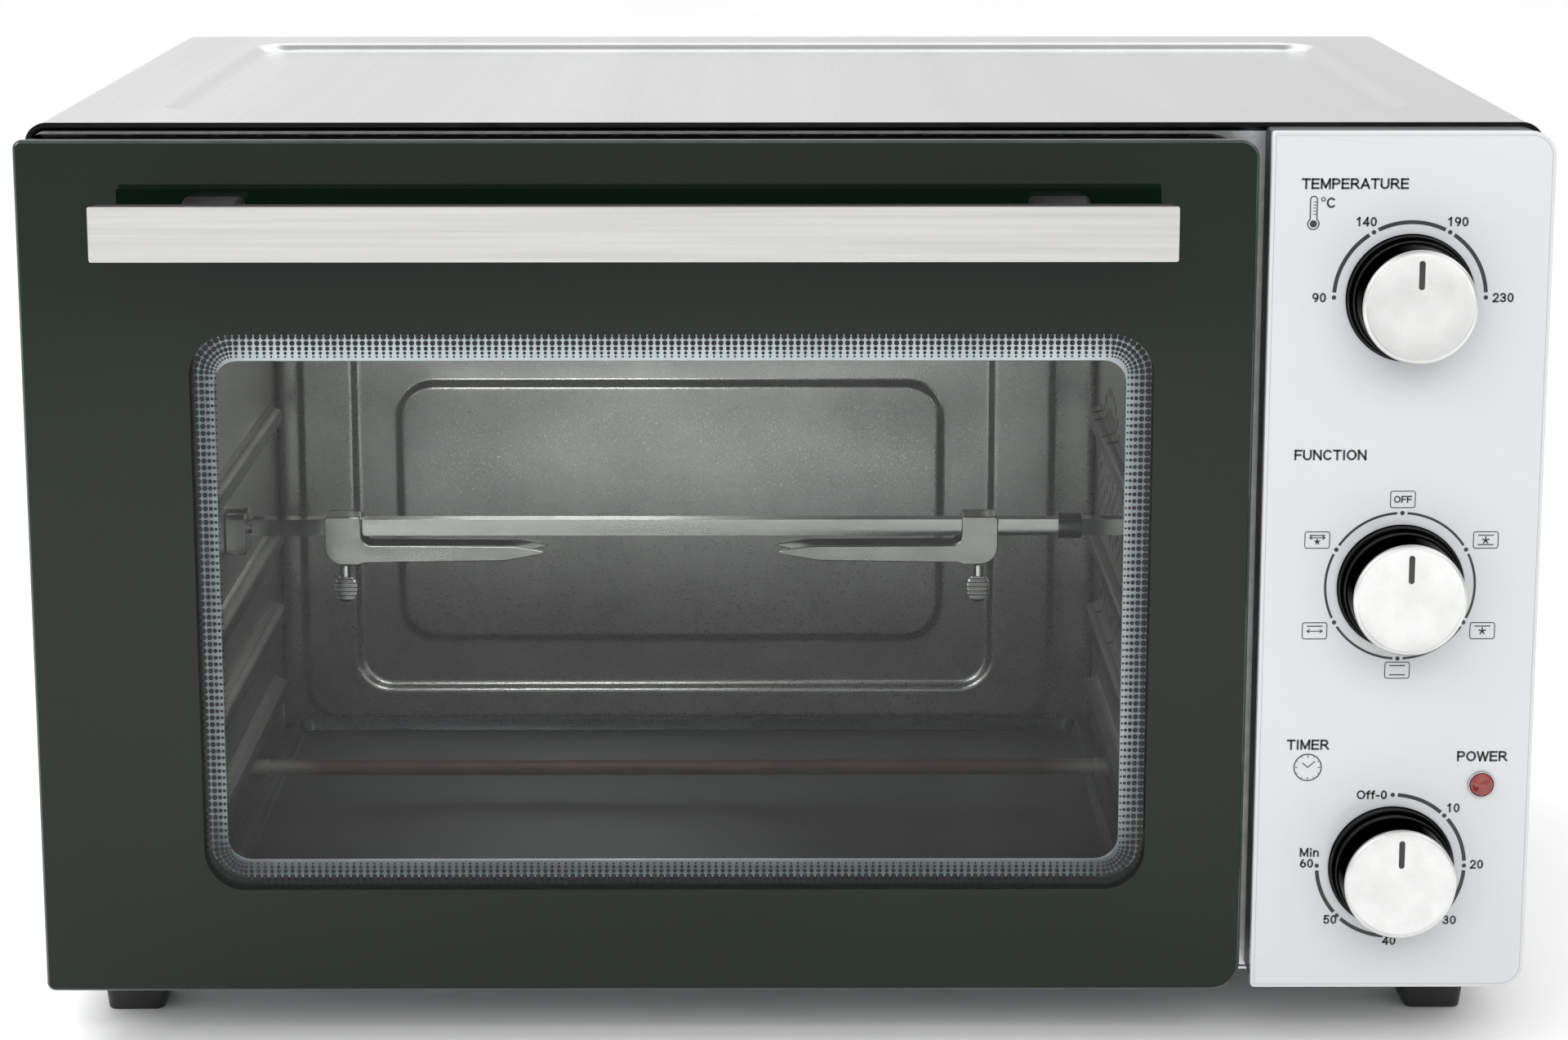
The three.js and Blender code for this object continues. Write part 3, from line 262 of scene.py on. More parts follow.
MATERIALS = {
    "stainless": surface("stainless_sheet", (0.66, 0.665, 0.67), (0.74, 0.745, 0.75), (0.15, 0.27), 1.0,
                         ALONG_Y, 30.0, 1500.0, 0.10, 0.01),
    "handle_steel": surface("brushed_bar", (0.53, 0.525, 0.515), (0.62, 0.615, 0.605), (0.26, 0.44), 1.0,
                            ALONG_X, 700.0, 2600.0, 0.35, 0.012),
    "galvanised": surface("galvanised_sheet", (0.50, 0.52, 0.53), (0.68, 0.69, 0.70), (0.30, 0.46), 1.0,
                          (1, 1, 1), 160.0, 1200.0, 0.12, 0.015),
    "liner": surface("aluminised_liner", (0.34, 0.342, 0.330), (0.44, 0.442, 0.425), (0.24, 0.36), 1.0,
                     (1, 1, 1), 22.0, 1600.0, 0.05, 0.008),
    # Painted shade: a darker liner tone for the rack ledges, standing for the shadow on and under them.
    "rack_shade": surface("painted_shade_rack_ledge", (0.10, 0.10, 0.098), (0.17, 0.17, 0.165), (0.30, 0.45), 1.0,
                          (1, 1, 1), 60.0, 1600.0, 0.15, 0.015),
    "tray_steel": surface("enamelled_tray", (0.018, 0.022, 0.024), (0.032, 0.037, 0.040), (0.24, 0.38), 1.0,
                          (1, 1, 1), 30.0, 1500.0, 0.05, 0.008),
    "printed_glass": surface("printed_glass", (0.0020, 0.0064, 0.0034), (0.0030, 0.0080, 0.0046),
                             (0.006, 0.012), 0.0, (1, 1, 1), 8.0, 20.0, 0.0, 0.001, IOR=1.35),
    "glass_edge": surface("polished_glass_edge", (0.020, 0.030, 0.026), (0.040, 0.056, 0.050),
                          (0.04, 0.10), 0.0, (1, 1, 1), 60.0, 300.0, 0.02, 0.005, IOR=1.52),
    "door_pane": clear_pane("door_pane", (0.972, 0.978, 0.976), 0.985, 1.22),
    "inner_pane": clear_pane("inner_pane", (0.975, 0.98, 0.978), 0.97, 1.12),
    "panel_glass": surface("back_painted_glass", (0.490, 0.500, 0.510), (0.510, 0.520, 0.530),
                           (0.08, 0.13), 0.0, (1, 1, 1), 9.0, 2500.0, 0.01, 0.003, IOR=1.5),
    "door_liner": surface("bright_door_liner", (0.72, 0.79, 0.82), (0.82, 0.89, 0.92), (0.36, 0.50), 0.85,
                          (1, 1, 1), 40.0, 1400.0, 0.12, 0.012),
    "door_enamel": surface("smooth_black_enamel", (0.012, 0.012, 0.013), (0.020, 0.020, 0.021),
                           (0.16, 0.26), 1.0, (1, 1, 1), 60.0, 700.0, 0.04, 0.004,
                           Specular_Tint=(0.06, 0.06, 0.06, 1)),
    "fork_steel": surface("fork_steel", (0.19, 0.19, 0.18), (0.28, 0.28, 0.265), (0.09, 0.20), 1.0,
                          (0.3, 1, 1), 140.0, 1500.0, 0.10, 0.008),
    "rod_steel": surface("drawn_rod_steel", (0.30, 0.30, 0.29), (0.40, 0.40, 0.385), (0.06, 0.13), 1.0,
                         (0.05, 1, 1), 140.0, 1500.0, 0.08, 0.006),
    "black_plastic": edge_worn("moulded_black_plastic", (0.008, 0.008, 0.009), (0.014, 0.014, 0.015),
                               (0.030, 0.030, 0.031), (0.38, 0.55), 0.0),
    "black_enamel": edge_worn("black_enamel", (0.010, 0.011, 0.012), (0.017, 0.018, 0.019),
                              (0.05, 0.05, 0.052), (0.20, 0.34), 0.0, Coat_Weight=0.4, Coat_Roughness=0.12),
    "dark_chrome": surface("dark_chrome", (0.018, 0.018, 0.019), (0.028, 0.028, 0.030), (0.05, 0.10), 1.0,
                           (1, 1, 1), 80.0, 900.0, 0.02, 0.003, Specular_Tint=(0.30, 0.30, 0.30, 1)),
    "satin_cap": surface("satin_cap", (0.62, 0.62, 0.615), (0.70, 0.70, 0.695), (0.26, 0.36), 1.0,
                         (1, 1, 1), 120.0, 3200.0, 0.12, 0.006),
    "bright_steel": surface("plated_steel", (0.50, 0.50, 0.48), (0.66, 0.66, 0.64), (0.12, 0.26), 1.0,
                            (0.2, 1, 1), 140.0, 1500.0, 0.12, 0.01),
    "heater_sheath": heater_skin(),
    "red_lens": surface("red_lens", (0.15, 0.012, 0.011), (0.26, 0.026, 0.022), (0.06, 0.14), 0.0,
                        (1, 1, 1), 300.0, 900.0, 0.05, 0.01, IOR=1.5, Coat_Weight=0.6),
    "control_body": surface("control_moulding", (0.42, 0.33, 0.20), (0.52, 0.43, 0.28), (0.45, 0.60)),
    "motor_steel": surface("motor_plating", (0.38, 0.39, 0.40), (0.50, 0.51, 0.52), (0.34, 0.50), 1.0),
    "print_ink": surface("print_ink", (0.014, 0.015, 0.016), (0.022, 0.023, 0.025), (0.30, 0.42),
                         0.0, (1, 1, 1), 300.0, 2500.0, 0.02, 0.002),
    # Grey for the painted shade line where the panel glass starts to slope to its edge.
    "edge_line": surface("panel_bevel_painted_shade", (0.30, 0.31, 0.32), (0.36, 0.37, 0.38), (0.15, 0.25)),
    "pointer_ink": surface("pointer_ink", (0.012, 0.012, 0.012), (0.022, 0.022, 0.022), (0.30, 0.45)),
    "dot_ink": surface("dot_ink", (0.004, 0.007, 0.008), (0.007, 0.011, 0.012), (0.30, 0.45), IOR=1.25),
}


# ------------------------------------------------------------------ making pieces

def finish_piece(made, body, slot, *replaced):
    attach(made, body)
    if replaced:
        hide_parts(*replaced)
    return made


def object_from(mesh, name, materials, angle=35):
    for polygon in mesh.polygons:
        polygon.use_smooth = True
    mesh.set_sharp_from_angle(angle=math.radians(angle))
    made = bpy.data.objects.new(name, mesh)
    bpy.context.scene.collection.objects.link(made)
    for key in materials:
        mesh.materials.append(MATERIALS[key])
    return made


def mesh_from(name, bm):
    bmesh.ops.recalc_face_normals(bm, faces=bm.faces)
    mesh = bpy.data.meshes.new(name)
    bm.to_mesh(mesh)
    bm.free()
    return mesh


def piece_from(bm, name, keys, angle, body, slot, *replaced):
    """A finished piece from a bmesh: its materials, the angle past which edges are sharp, and its record; the
    slot in the record is not used.
    """
    made = object_from(mesh_from(name, bm), name, keys, angle)
    return finish_piece(made, body, slot, *replaced)


def skin_loops(bm, loops, bands=None, first_cap=None, last_cap=None, closed=True):
    """Bridges loops of equal length; bands gives each band's material index, the caps one for each end."""
    rings = [[bm.verts.new(point) for point in loop] for loop in loops]
    count = len(rings[0])
    for band in range(len(rings) - 1):
        a, b = rings[band], rings[band + 1]
        for i in range(count if closed else count - 1):
            j = (i + 1) % count
            face = bm.faces.new((a[i], a[j], b[j], b[i]))
            face.material_index = bands[band] if bands else 0
    if first_cap is not None:
        bm.faces.new(rings[0]).material_index = first_cap
    if last_cap is not None:
        bm.faces.new(rings[-1]).material_index = last_cap
    return rings


def rounded(area, radii, grow=0.0, steps=8):
    """Points round a rectangle (left, right, low, high) with corner radii from bottom left, anticlockwise."""
    left, right = area["left"] - grow, area["right"] + grow
    bottom, top = area["low"] - grow, area["high"] + grow
    if not isinstance(radii, (list, tuple)):
        radii = [radii] * 4
    radii = [max(r + grow, 0.05 * MM) for r in radii]
    centres = [(left + radii[0], bottom + radii[0]), (right - radii[1], bottom + radii[1]),
               (right - radii[2], top - radii[2]), (left + radii[3], top - radii[3])]
    points = []
    for quarter, ((x, z), r) in enumerate(zip(centres, radii)):
        start = math.pi + quarter * math.pi / 2
        for i in range(steps + 1):
            turn = start + i * math.pi / 2 / steps
            points.append((x + r * math.cos(turn), z + r * math.sin(turn)))
    return points


def in_front(points, y):
    return [(x, y, z) for x, z in points]


def lathe(bm, profile, centre, axis="y", sides=64, sign=1, material=0):
    """Turns profile points (radius, distance) round an axis through centre; it is closed at both ends."""
    loops = []
    for radius, distance in profile:
        loop = []
        for i in range(sides):
            turn = 2 * math.pi * i / sides
            u, v, w = radius * math.cos(turn), radius * math.sin(turn), sign * distance
            offset = {"x": (w, u, v), "y": (u, w, v), "z": (u, v, w)}[axis]
            loop.append(Vector(centre) + Vector(offset))
        loops.append(loop)
    skin_loops(bm, loops, [material] * (len(loops) - 1), material, material)


def refined(node, bevel=0.3, segments=2, key=None, name=None, extra=()):
    """The CAD solid as a clean mesh with rounded edges, standing for its node."""
    bm = bmesh.new()
    bm.from_mesh(nodes[node].data)
    bmesh.ops.remove_doubles(bm, verts=bm.verts, dist=0.01 * MM)
    bmesh.ops.dissolve_limit(bm, angle_limit=math.radians(1), verts=bm.verts, edges=bm.edges)
    for face in bm.faces:
        face.material_index = 0
    mesh = mesh_from(node, bm)
    mesh.materials.clear()
    made = object_from(mesh, name or node + "_shape", [key or record_slot[node], *extra])
    rounding = made.modifiers.new("edges", "BEVEL")
    rounding.width = bevel * MM
    rounding.segments = segments
    rounding.limit_method = "ANGLE"
    rounding.angle_limit = math.radians(32)
    rounding.harden_normals = True
    return finish_piece(made, node_body[node], record_slot[node], node)


# ------------------------------------------------------------------ casing

def recess_depth(x, y, area):
    """Depth of the pressed field in the casing's top at a point, with soft edges."""
    slope, deepest, corner = 6 * MM, 3 * MM, 18 * MM
    cx, cy = (area["left"] + area["right"]) / 2, (area["low"] + area["high"]) / 2
    dx = abs(x - cx) - (area["right"] - area["left"]) / 2 + corner
    dy = abs(y - cy) - (area["high"] - area["low"]) / 2 + corner
    outside = math.hypot(max(dx, 0), max(dy, 0)) + min(max(dx, dy), 0) - corner
    t = min(max(-outside / slope, 0), 1)
    return deepest * t * t * (3 - 2 * t)


def stops(start, end, fine_spans, fine, coarse):
    """Rising numbers from start to end, close together inside the fine spans."""
    found = [start]
    while found[-1] < end - 1e-6:
        here = found[-1]
        inside = any(a - coarse <= here + 1e-9 and here < b for a, b in fine_spans)
        found.append(min(here + (fine if inside else coarse), end))
    return found


def casing_shell():
    half, top, base, corner = CASING_HALF, CASING_TOP, CASING_LOW, 6.5 * MM
    field = {"left": -half + 37.5 * MM, "right": half - 34.5 * MM,
             "low": BODY_FRONT + 45 * MM, "high": CASING_BACK - 30 * MM}
    soft = 26 * MM
    edge = 3 * MM
    spans_x = [(field["left"] - edge, field["left"] + soft), (field["right"] - soft, field["right"] + edge)]
    spans_y = [(field["low"] - edge, field["low"] + soft), (field["high"] - soft, field["high"] + edge)]
    slot_count, slot_pitch, last_slot = 10, 9 * MM, 36 * MM
    slots = [CASING_BACK - last_slot - slot_pitch * i for i in range(slot_count)]
    slot_low, slot_high, slot_width = base + 34 * MM, base + 74 * MM, 3 * MM
    xs = stops(-half + corner, half - corner, spans_x, 1.4 * MM, 11 * MM)
    ys = stops(BODY_FRONT, CASING_BACK, spans_y, 1.4 * MM, 11 * MM)
    ys = sorted(set(ys) | {y for s in slots for y in (s, s + slot_width)})
    side = [base, slot_low, slot_high] + [slot_high + (top - corner - slot_high) * i / 8 for i in range(1, 9)]
    bend = [math.radians(a) for a in range(9, 90, 9)]
    path = [(-half, z) for z in side]
    path += [(-half + corner - corner * math.cos(a), top - corner + corner * math.sin(a)) for a in bend]
    path += [(x, top) for x in xs]
    path += [(half - corner + corner * math.sin(a), top - corner + corner * math.cos(a)) for a in bend]
    path += [(half, z) for z in reversed(side)]
    bm = bmesh.new()
    rows = []
    for y in ys:
        row = []
        for x, z in path:
            drop = recess_depth(x, y, field) if z == top else 0
            row.append(bm.verts.new((x, y, z - drop)))
        rows.append(row)
    last = len(path) - 1
    for j in range(len(ys) - 1):
        slotted = any(abs(ys[j] - s) < 1e-7 or s < ys[j] < s + slot_width - 1e-7 for s in slots)
        for i in range(last):
            in_slot = slotted and i == last - 2
            if not in_slot:
                bm.faces.new((rows[j][i], rows[j][i + 1], rows[j + 1][i + 1], rows[j + 1][i]))
    mesh = mesh_from("casing_shell", bm)
    made = object_from(mesh, "casing_shell", ["stainless"], 50)
    faces_at = {}
    for polygon in mesh.polygons:
        for key in polygon.edge_keys:
            faces_at[key] = faces_at.get(key, 0) + 1
    for edge in mesh.edges:
        if faces_at[edge.key] == 1:
            edge.use_edge_sharp = True
    thick = made.modifiers.new("sheet", "SOLIDIFY")
    thick.thickness = SHEET
    thick.offset = -1
    flatter = made.modifiers.new("flat_faces", "WEIGHTED_NORMAL")
    flatter.keep_sharp = True
    outward = sum(p.normal.z * p.area for p in mesh.polygons)
    if outward < 0:
        mesh.flip_normals()
    return finish_piece(made, "body", "stainless", "casing")


def casing_hem_and_edge_shade():
    """A dark strip round the casing's front edge, shaped as a rolled hem: partly the sheet's dark edge, partly
    painted shade along it.
    """
    bm = bmesh.new()
    half, top, base = CASING_HALF, CASING_TOP, CASING_LOW
    outline = []
    for grow in (0.35, -2.3):
        g, r = grow * MM, (6.5 + grow) * MM
        points = [(-half - g, base)]
        for i in range(11):
            a = math.pi - i * math.pi / 20
            points.append((-half - g + r + r * math.cos(a), top + g - r + r * math.sin(a)))
        for i in range(11):
            a = math.pi / 2 - i * math.pi / 20
            points.append((half + g - r + r * math.cos(a), top + g - r + r * math.sin(a)))
        points.append((half + g, base))
        outline.append(points)
    outer, inner = outline
    front, back, soft = BODY_FRONT - 1.1 * MM, BODY_FRONT + 1.6 * MM, 0.5 * MM

    def between(t, y):
        return [(a[0] + (b[0] - a[0]) * t, y, a[1] + (b[1] - a[1]) * t) for a, b in zip(outer, inner)]

    section = [(0, back), (0, front + soft), (0.07, front + 0.3 * soft), (0.25, front), (0.75, front),
               (0.93, front + 0.3 * soft), (1, front + soft), (1, back)]
    rings = [between(t, y) for t, y in section]
    grid = [[bm.verts.new(p) for p in ring] for ring in rings]
    count = len(grid)
    for i in range(count):
        a, b = grid[i], grid[(i + 1) % count]
        for k in range(len(a) - 1):
            bm.faces.new((a[k], a[k + 1], b[k + 1], b[k]))
    bm.faces.new([row[0] for row in grid])
    bm.faces.new([row[-1] for row in reversed(grid)])
    return piece_from(bm, "casing_hem_and_edge_shade", ["door_enamel"], 40, "body", "black_enamel")


# ------------------------------------------------------------------ door

def door_glass():
    """One slab: printed round the window, clear in the window, with a polished edge."""
    corners = [3 * MM, 10 * MM, 6.5 * MM, 3 * MM]
    front, back = GLASS_FRONT, GLASS_BACK
    window = rounded(WINDOW, WINDOW_CORNER, steps=12)

    def outer(grow, y):
        return in_front(rounded(DOOR, corners, grow * MM, steps=12), y)

    bm = bmesh.new()
    loops = [in_front(window, front), outer(-1.6, front), outer(-1.25, front), outer(-0.95, front + 0.12 * MM),
             outer(-0.2, front + 0.85 * MM), outer(0, front + 1.2 * MM), outer(0, back - 0.6 * MM),
             outer(-0.6, back), outer(-0.9, back), in_front(window, back)]
    skin_loops(bm, loops, [0, 0, 0, 1, 1, 1, 1, 0, 0], 2, 2)
    keys = ["printed_glass", "glass_edge", "door_pane"]
    return piece_from(bm, "door_glass", keys, 30, "door", "door_glass", "door_outer_glass")


def window_dots():
    """The print's edge: five rows of dots that shrink towards the window, each row on the same spokes."""
    rows = [(1.35, 1.12, 10), (3.6, 0.95, 10), (5.5, 0.78, 8), (7.05, 0.60, 8), (8.3, 0.42, 6)]
    pitch = 2.4 * MM
    r = WINDOW_CORNER
    area = WINDOW
    straight = [(area["right"] - area["left"]) - 2 * r, (area["high"] - area["low"]) - 2 * r]
    sides = [
        ((area["left"] + r, area["low"]), (1, 0), straight[0]),
        ((area["right"], area["low"] + r), (0, 1), straight[1]),
        ((area["right"] - r, area["high"]), (-1, 0), straight[0]),
        ((area["left"], area["high"] - r), (0, -1), straight[1]),
    ]
    spokes = []
    for (x, z), (ax, az), length in sides:
        nx, nz = -az, ax
        count = round(length / pitch)
        for i in range(count):
            along = (i + 0.5) * length / count
            spokes.append((x + ax * along, z + az * along, nx, nz))
        cx, cz = x + ax * length + nx * r, z + az * length + nz * r
        turns = round(r * math.pi / 2 / pitch)
        for i in range(turns):
            turn = (i + 0.5) / turns * math.pi / 2
            ux = -nx * math.cos(turn) + ax * math.sin(turn)
            uz = -nz * math.cos(turn) + az * math.sin(turn)
            spokes.append((cx + ux * r, cz + uz * r, -ux, -uz))
    bm = bmesh.new()
    near, far = GLASS_BACK + 0.03 * MM, GLASS_BACK + 0.10 * MM
    for x, z, nx, nz in spokes:
        for inset, radius, corners in rows:
            px, pz = x + nx * inset * MM, z + nz * inset * MM
            ring = [(px + radius * MM * math.cos(2 * math.pi * k / corners),
                     pz + radius * MM * math.sin(2 * math.pi * k / corners)) for k in range(corners)]
            skin_loops(bm, [in_front(ring, near), in_front(ring, far)], [0], 0, 0)
    return piece_from(bm, "window_dot_print", ["dot_ink"], 30, "door", "door_glass")


def screw(name, at, facing, radius, body, key="bright_steel"):
    """A pan head with a cross recess; facing is the axis letter and sign that the head points to."""
    bm = bmesh.new()
    sides = 32

    def ring(size, height, cross=False):
        points = []
        for i in range(sides):
            turn = 2 * math.pi * i / sides
            r = size
            if cross:
                arm = max(abs(math.cos(turn)), abs(math.sin(turn)))
                r = size if arm > 0.955 else size * 0.36
            u, v, w = r * math.cos(turn), r * math.sin(turn), height * facing[1]
            offset = {"x": (w, u, v), "y": (u, w, v), "z": (u, v, w)}[facing[0]]
            points.append(Vector(at) + Vector(offset))
        return points

    h = radius * 0.62
    loops = [ring(radius, -0.1 * MM), ring(radius, h * 0.35), ring(radius * 0.93, h * 0.7),
             ring(radius * 0.78, h * 0.93), ring(radius * 0.62, h), ring(radius * 0.52, h, True),
             ring(radius * 0.40, h * 0.45, True)]
    skin_loops(bm, loops, None, 0, 0)
    return piece_from(bm, name, [key], 40, body, "bright_steel")


def build_door():
    door_glass()
    window_dots()
    refined("door_frame", 0.45, key="door_enamel")
    refined("door_inner_frame", 0.5, 3, key="door_liner")
    refined("door_inner_glass", 0.4, key="inner_pane")
    refined("handle_plate", 0.3, 3)
    refined("handle_body", 0.9, 3)
    for side in ("left", "right"):
        refined(f"hinge_pin_{side}", 0.3)
        refined(f"hinge_bracket_{side}", 0.3)


# ------------------------------------------------------------------ control panel

INK_BACK = GLASS_FRONT - 0.01 * MM
INK_FRONT = GLASS_FRONT - 0.06 * MM


def ink_band(bm, points, width):
    """A thin raised line through points in X and Z."""
    outer, inner = [], []
    for i, (x, z) in enumerate(points):
        x0, z0 = points[max(i - 1, 0)]
        x1, z1 = points[min(i + 1, len(points) - 1)]
        length = math.hypot(x1 - x0, z1 - z0)
        nx, nz = -(z1 - z0) / length * width / 2, (x1 - x0) / length * width / 2
        outer.append((x + nx, z + nz))
        inner.append((x - nx, z - nz))
    outline = outer + inner[::-1]
    count = len(points)
    front = [bm.verts.new((x, INK_FRONT, z)) for x, z in outline]
    back = [bm.verts.new((x, INK_BACK, z)) for x, z in outline]
    total = len(outline)
    for i in range(count - 1):
        a, b, c, d = i, i + 1, total - 2 - i, total - 1 - i
        bm.faces.new((front[a], front[b], front[c], front[d]))
        bm.faces.new((back[d], back[c], back[b], back[a]))
    for i in range(total):
        j = (i + 1) % total
        bm.faces.new((front[i], back[i], back[j], front[j]))


def ink_arc(bm, centre, radius, start, end, width, steps=40):
    """Angles in degrees from +X, anticlockwise as seen from the front."""
    points = []
    for i in range(steps + 1):
        turn = math.radians(start + (end - start) * i / steps)
        points.append((centre[0] + radius * math.cos(turn), centre[1] + radius * math.sin(turn)))
    ink_band(bm, points, width)


def ink_dot(bm, x, z, radius, sides=14):
    ring = [(x + radius * math.cos(2 * math.pi * k / sides), z + radius * math.sin(2 * math.pi * k / sides))
            for k in range(sides)]
    skin_loops(bm, [in_front(ring, INK_FRONT), in_front(ring, INK_BACK)], [0], 0, 0)


def ink_piece(name, bm, key="print_ink"):
    return piece_from(bm, name, [key], 30, "body", "panel_glass")


def bow(cx, cz, rx, rz, start, end, steps=12):
    """Points on part of an ellipse; angles in degrees."""
    turns = [math.radians(start + (end - start) * i / steps) for i in range(steps + 1)]
    return [(cx + rx * math.cos(t), cz + rz * math.sin(t)) for t in turns]


BOWL = [(0.08, 0.0), (0.08, 1.0), (0.44, 1.0)] + bow(0.44, 0.74, 0.27, 0.26, 90, -90) + [(0.08, 0.48)]

# Width and strokes of each letter, for a capital one unit tall.
LETTERS = {
    "A": (0.86, [[(0.04, 0), (0.43, 1), (0.82, 0)], [(0.17, 0.30), (0.69, 0.30)]]),
    "C": (0.88, [bow(0.47, 0.5, 0.39, 0.5, 48, 312, 20)]),
    "E": (0.76, [[(0.70, 1), (0.08, 1), (0.08, 0), (0.70, 0)], [(0.08, 0.52), (0.64, 0.52)]]),
    "F": (0.70, [[(0.68, 1), (0.08, 1), (0.08, 0)], [(0.08, 0.50), (0.60, 0.50)]]),
    "I": (0.26, [[(0.13, 0), (0.13, 1)]]),
    "M": (0.98, [[(0.08, 0), (0.08, 1), (0.49, 0.10), (0.90, 1), (0.90, 0)]]),
    "N": (0.86, [[(0.08, 0), (0.08, 1), (0.78, 0), (0.78, 1)]]),
    "O": (0.96, [bow(0.48, 0.5, 0.41, 0.5, 0, 360, 28)]),
    "P": (0.78, [BOWL]),
    "R": (0.86, [BOWL, [(0.42, 0.48), (0.80, 0)]]),
    "T": (0.78, [[(0.03, 1), (0.75, 1)], [(0.39, 1), (0.39, 0)]]),
    "U": (0.86, [[(0.08, 1), (0.08, 0.34)] + bow(0.43, 0.35, 0.35, 0.35, 180, 360) + [(0.78, 1)]]),
    "W": (1.14, [[(0.02, 1), (0.30, 0), (0.57, 0.95), (0.84, 0), (1.12, 1)]]),
    "f": (0.40, [[(0.17, 0), (0.17, 0.80)] + bow(0.33, 0.80, 0.16, 0.20, 180, 80, 6),
                 [(0.02, 0.68), (0.34, 0.68)]]),
    "i": (0.26, [[(0.13, 0), (0.13, 0.56)], [(0.13, 0.88), (0.13, 1)]]),
    "n": (0.66, [[(0.08, 0), (0.08, 0.70)],
                 [(0.08, 0.42)] + bow(0.33, 0.44, 0.24, 0.26, 180, 0) + [(0.57, 0)]]),
    "-": (0.42, [[(0.06, 0.36), (0.36, 0.36)]]),
    "0": (0.68, [bow(0.34, 0.5, 0.26, 0.5, 0, 360, 24)]),
    "1": (0.68, [[(0.16, 0.78), (0.40, 1), (0.40, 0)]]),
    "2": (0.68, [bow(0.34, 0.72, 0.25, 0.28, 170, -38) + [(0.08, 0), (0.62, 0)]]),
    "3": (0.68, [bow(0.32, 0.75, 0.24, 0.25, 160, -90), bow(0.32, 0.26, 0.27, 0.26, 90, -160)]),
    "4": (0.68, [[(0.48, 0), (0.48, 1), (0.05, 0.28), (0.64, 0.28)]]),
    "5": (0.68, [[(0.58, 1), (0.16, 1), (0.11, 0.52)] + bow(0.33, 0.32, 0.27, 0.32, 130, -155)]),
    "6": (0.68, [bow(0.35, 0.31, 0.26, 0.31, 0, 360, 20), bow(0.45, 0.31, 0.36, 0.69, 105, 180)]),
    "9": (0.68, [bow(0.33, 0.69, 0.26, 0.31, 0, 360, 20), bow(0.23, 0.69, 0.36, 0.69, -75, 0)]),
}


def straight_parts(points, sharp=35):
    """Splits a line of points where it turns by more than the angle."""
    points = [a for a, b in zip(points, points[1:] + [(9, 9)]) if math.dist(a, b) > 1e-4]
    parts, part = [], [points[0]]
    for i in range(1, len(points)):
        part.append(points[i])
        if i + 1 < len(points):
            a = Vector((points[i][0] - points[i - 1][0], points[i][1] - points[i - 1][1]))
            b = Vector((points[i + 1][0] - points[i][0], points[i + 1][1] - points[i][1]))
            if math.degrees(a.angle(b)) > sharp:
                parts.append(part)
                part = [points[i]]
    parts.append(part)
    return parts


def lettering(name, words, x, z, size, weight=0.19, align="CENTER"):
    """Plain letters and numbers on the panel, drawn with even strokes; size is the height of a capital."""
    gap = 0.16
    narrow = 0.90
    width = narrow * (sum(LETTERS[c][0] for c in words) + gap * (len(words) - 1))
    pen = x - (width * size / 2 if align == "CENTER" else 0)
    line = weight * size
    bm = bmesh.new()
    for c in words:
        for stroke in LETTERS[c][1]:
            for part in straight_parts(stroke):
                places = [Vector((pen + u * size * narrow, z + line / 2 + v * (size - line))) for u, v in part]
                first = (places[0] - places[1]).normalized() * line * 0.45
                last = (places[-1] - places[-2]).normalized() * line * 0.45
                places[0] = places[0] + first
                places[-1] = places[-1] + last
                ink_band(bm, [(p.x, p.y) for p in places], line)
        pen += (LETTERS[c][0] + gap) * size * narrow
    return ink_piece(name, bm)


def scale_ring(dial, start, end, gaps, width, radius=25.8 * MM):
    """An arc round a knob with dots set in gaps of it."""
    centre = (KNOBS[dial].x, KNOBS[dial].z)
    bm = bmesh.new()
    clear = math.degrees(1.75 * MM / radius)
    edges = sorted(gaps, reverse=True)
    full = abs(start - end) >= 360
    spans = list(zip(edges, edges[1:] + [edges[0] - 360])) if full else list(zip(edges, edges[1:]))
    for a, b in spans:
        ink_arc(bm, centre, radius, a - clear, b + clear, width)
    for gap in gaps:
        turn = math.radians(gap)
        ink_dot(bm, centre[0] + radius * math.cos(turn), centre[1] + radius * math.sin(turn), 0.78 * MM)
    return ink_piece(f"{dial}_scale", bm)


def frame_lines(bm, x, z, width, height, line, corner):
    area = {"left": x - width / 2, "right": x + width / 2, "low": z - height / 2, "high": z + height / 2}
    outer = rounded(area, corner, steps=4)
    inner = rounded(area, corner, -line, steps=4)
    skin_loops(bm, [in_front(outer, INK_BACK), in_front(outer, INK_FRONT), in_front(inner, INK_FRONT),
                    in_front(inner, INK_BACK)], [0, 0, 0])
    skin_loops(bm, [in_front(inner, INK_BACK), in_front(outer, INK_BACK)], [0])
    bmesh.ops.remove_doubles(bm, verts=bm.verts, dist=1e-7)


def icon(bm, x, z, marks):
    """A small box with the lines, fan or spit arrow that stand for an oven function."""
    width, height, line = 8.8 * MM, 6.1 * MM, 0.32 * MM
    frame_lines(bm, x, z, width, height, line, 0.9 * MM)
    reach = width * 0.31
    if "top" in marks:
        ink_band(bm, [(x - reach, z + height * 0.27), (x + reach, z + height * 0.27)], line * 1.2)
    if "bottom" in marks:
        ink_band(bm, [(x - reach, z - height * 0.27), (x + reach, z - height * 0.27)], line * 1.2)
    if "fan" in marks:
        size = height * (0.17 if "spit" in marks else 0.22)
        drop = -height * 0.02 if "spit" not in marks else -height * 0.10
        for k in range(5):
            turn = math.radians(90 + 72 * k)
            tip = (x + size * math.cos(turn), z + drop + size * math.sin(turn))
            ink_band(bm, [(x, z + drop), tip], line * 1.5)
    if "spit" in marks:
        bar = z + height * (0.13 if "fan" in marks else -0.02)
        ink_band(bm, [(x - reach, bar), (x + reach, bar)], line)
        for sign in (-1, 1):
            tip = x + sign * reach
            for lift in (-1, 1):
                ink_band(bm, [(tip - sign * 1.0 * MM, bar + lift * 0.6 * MM), (tip, bar)], line)


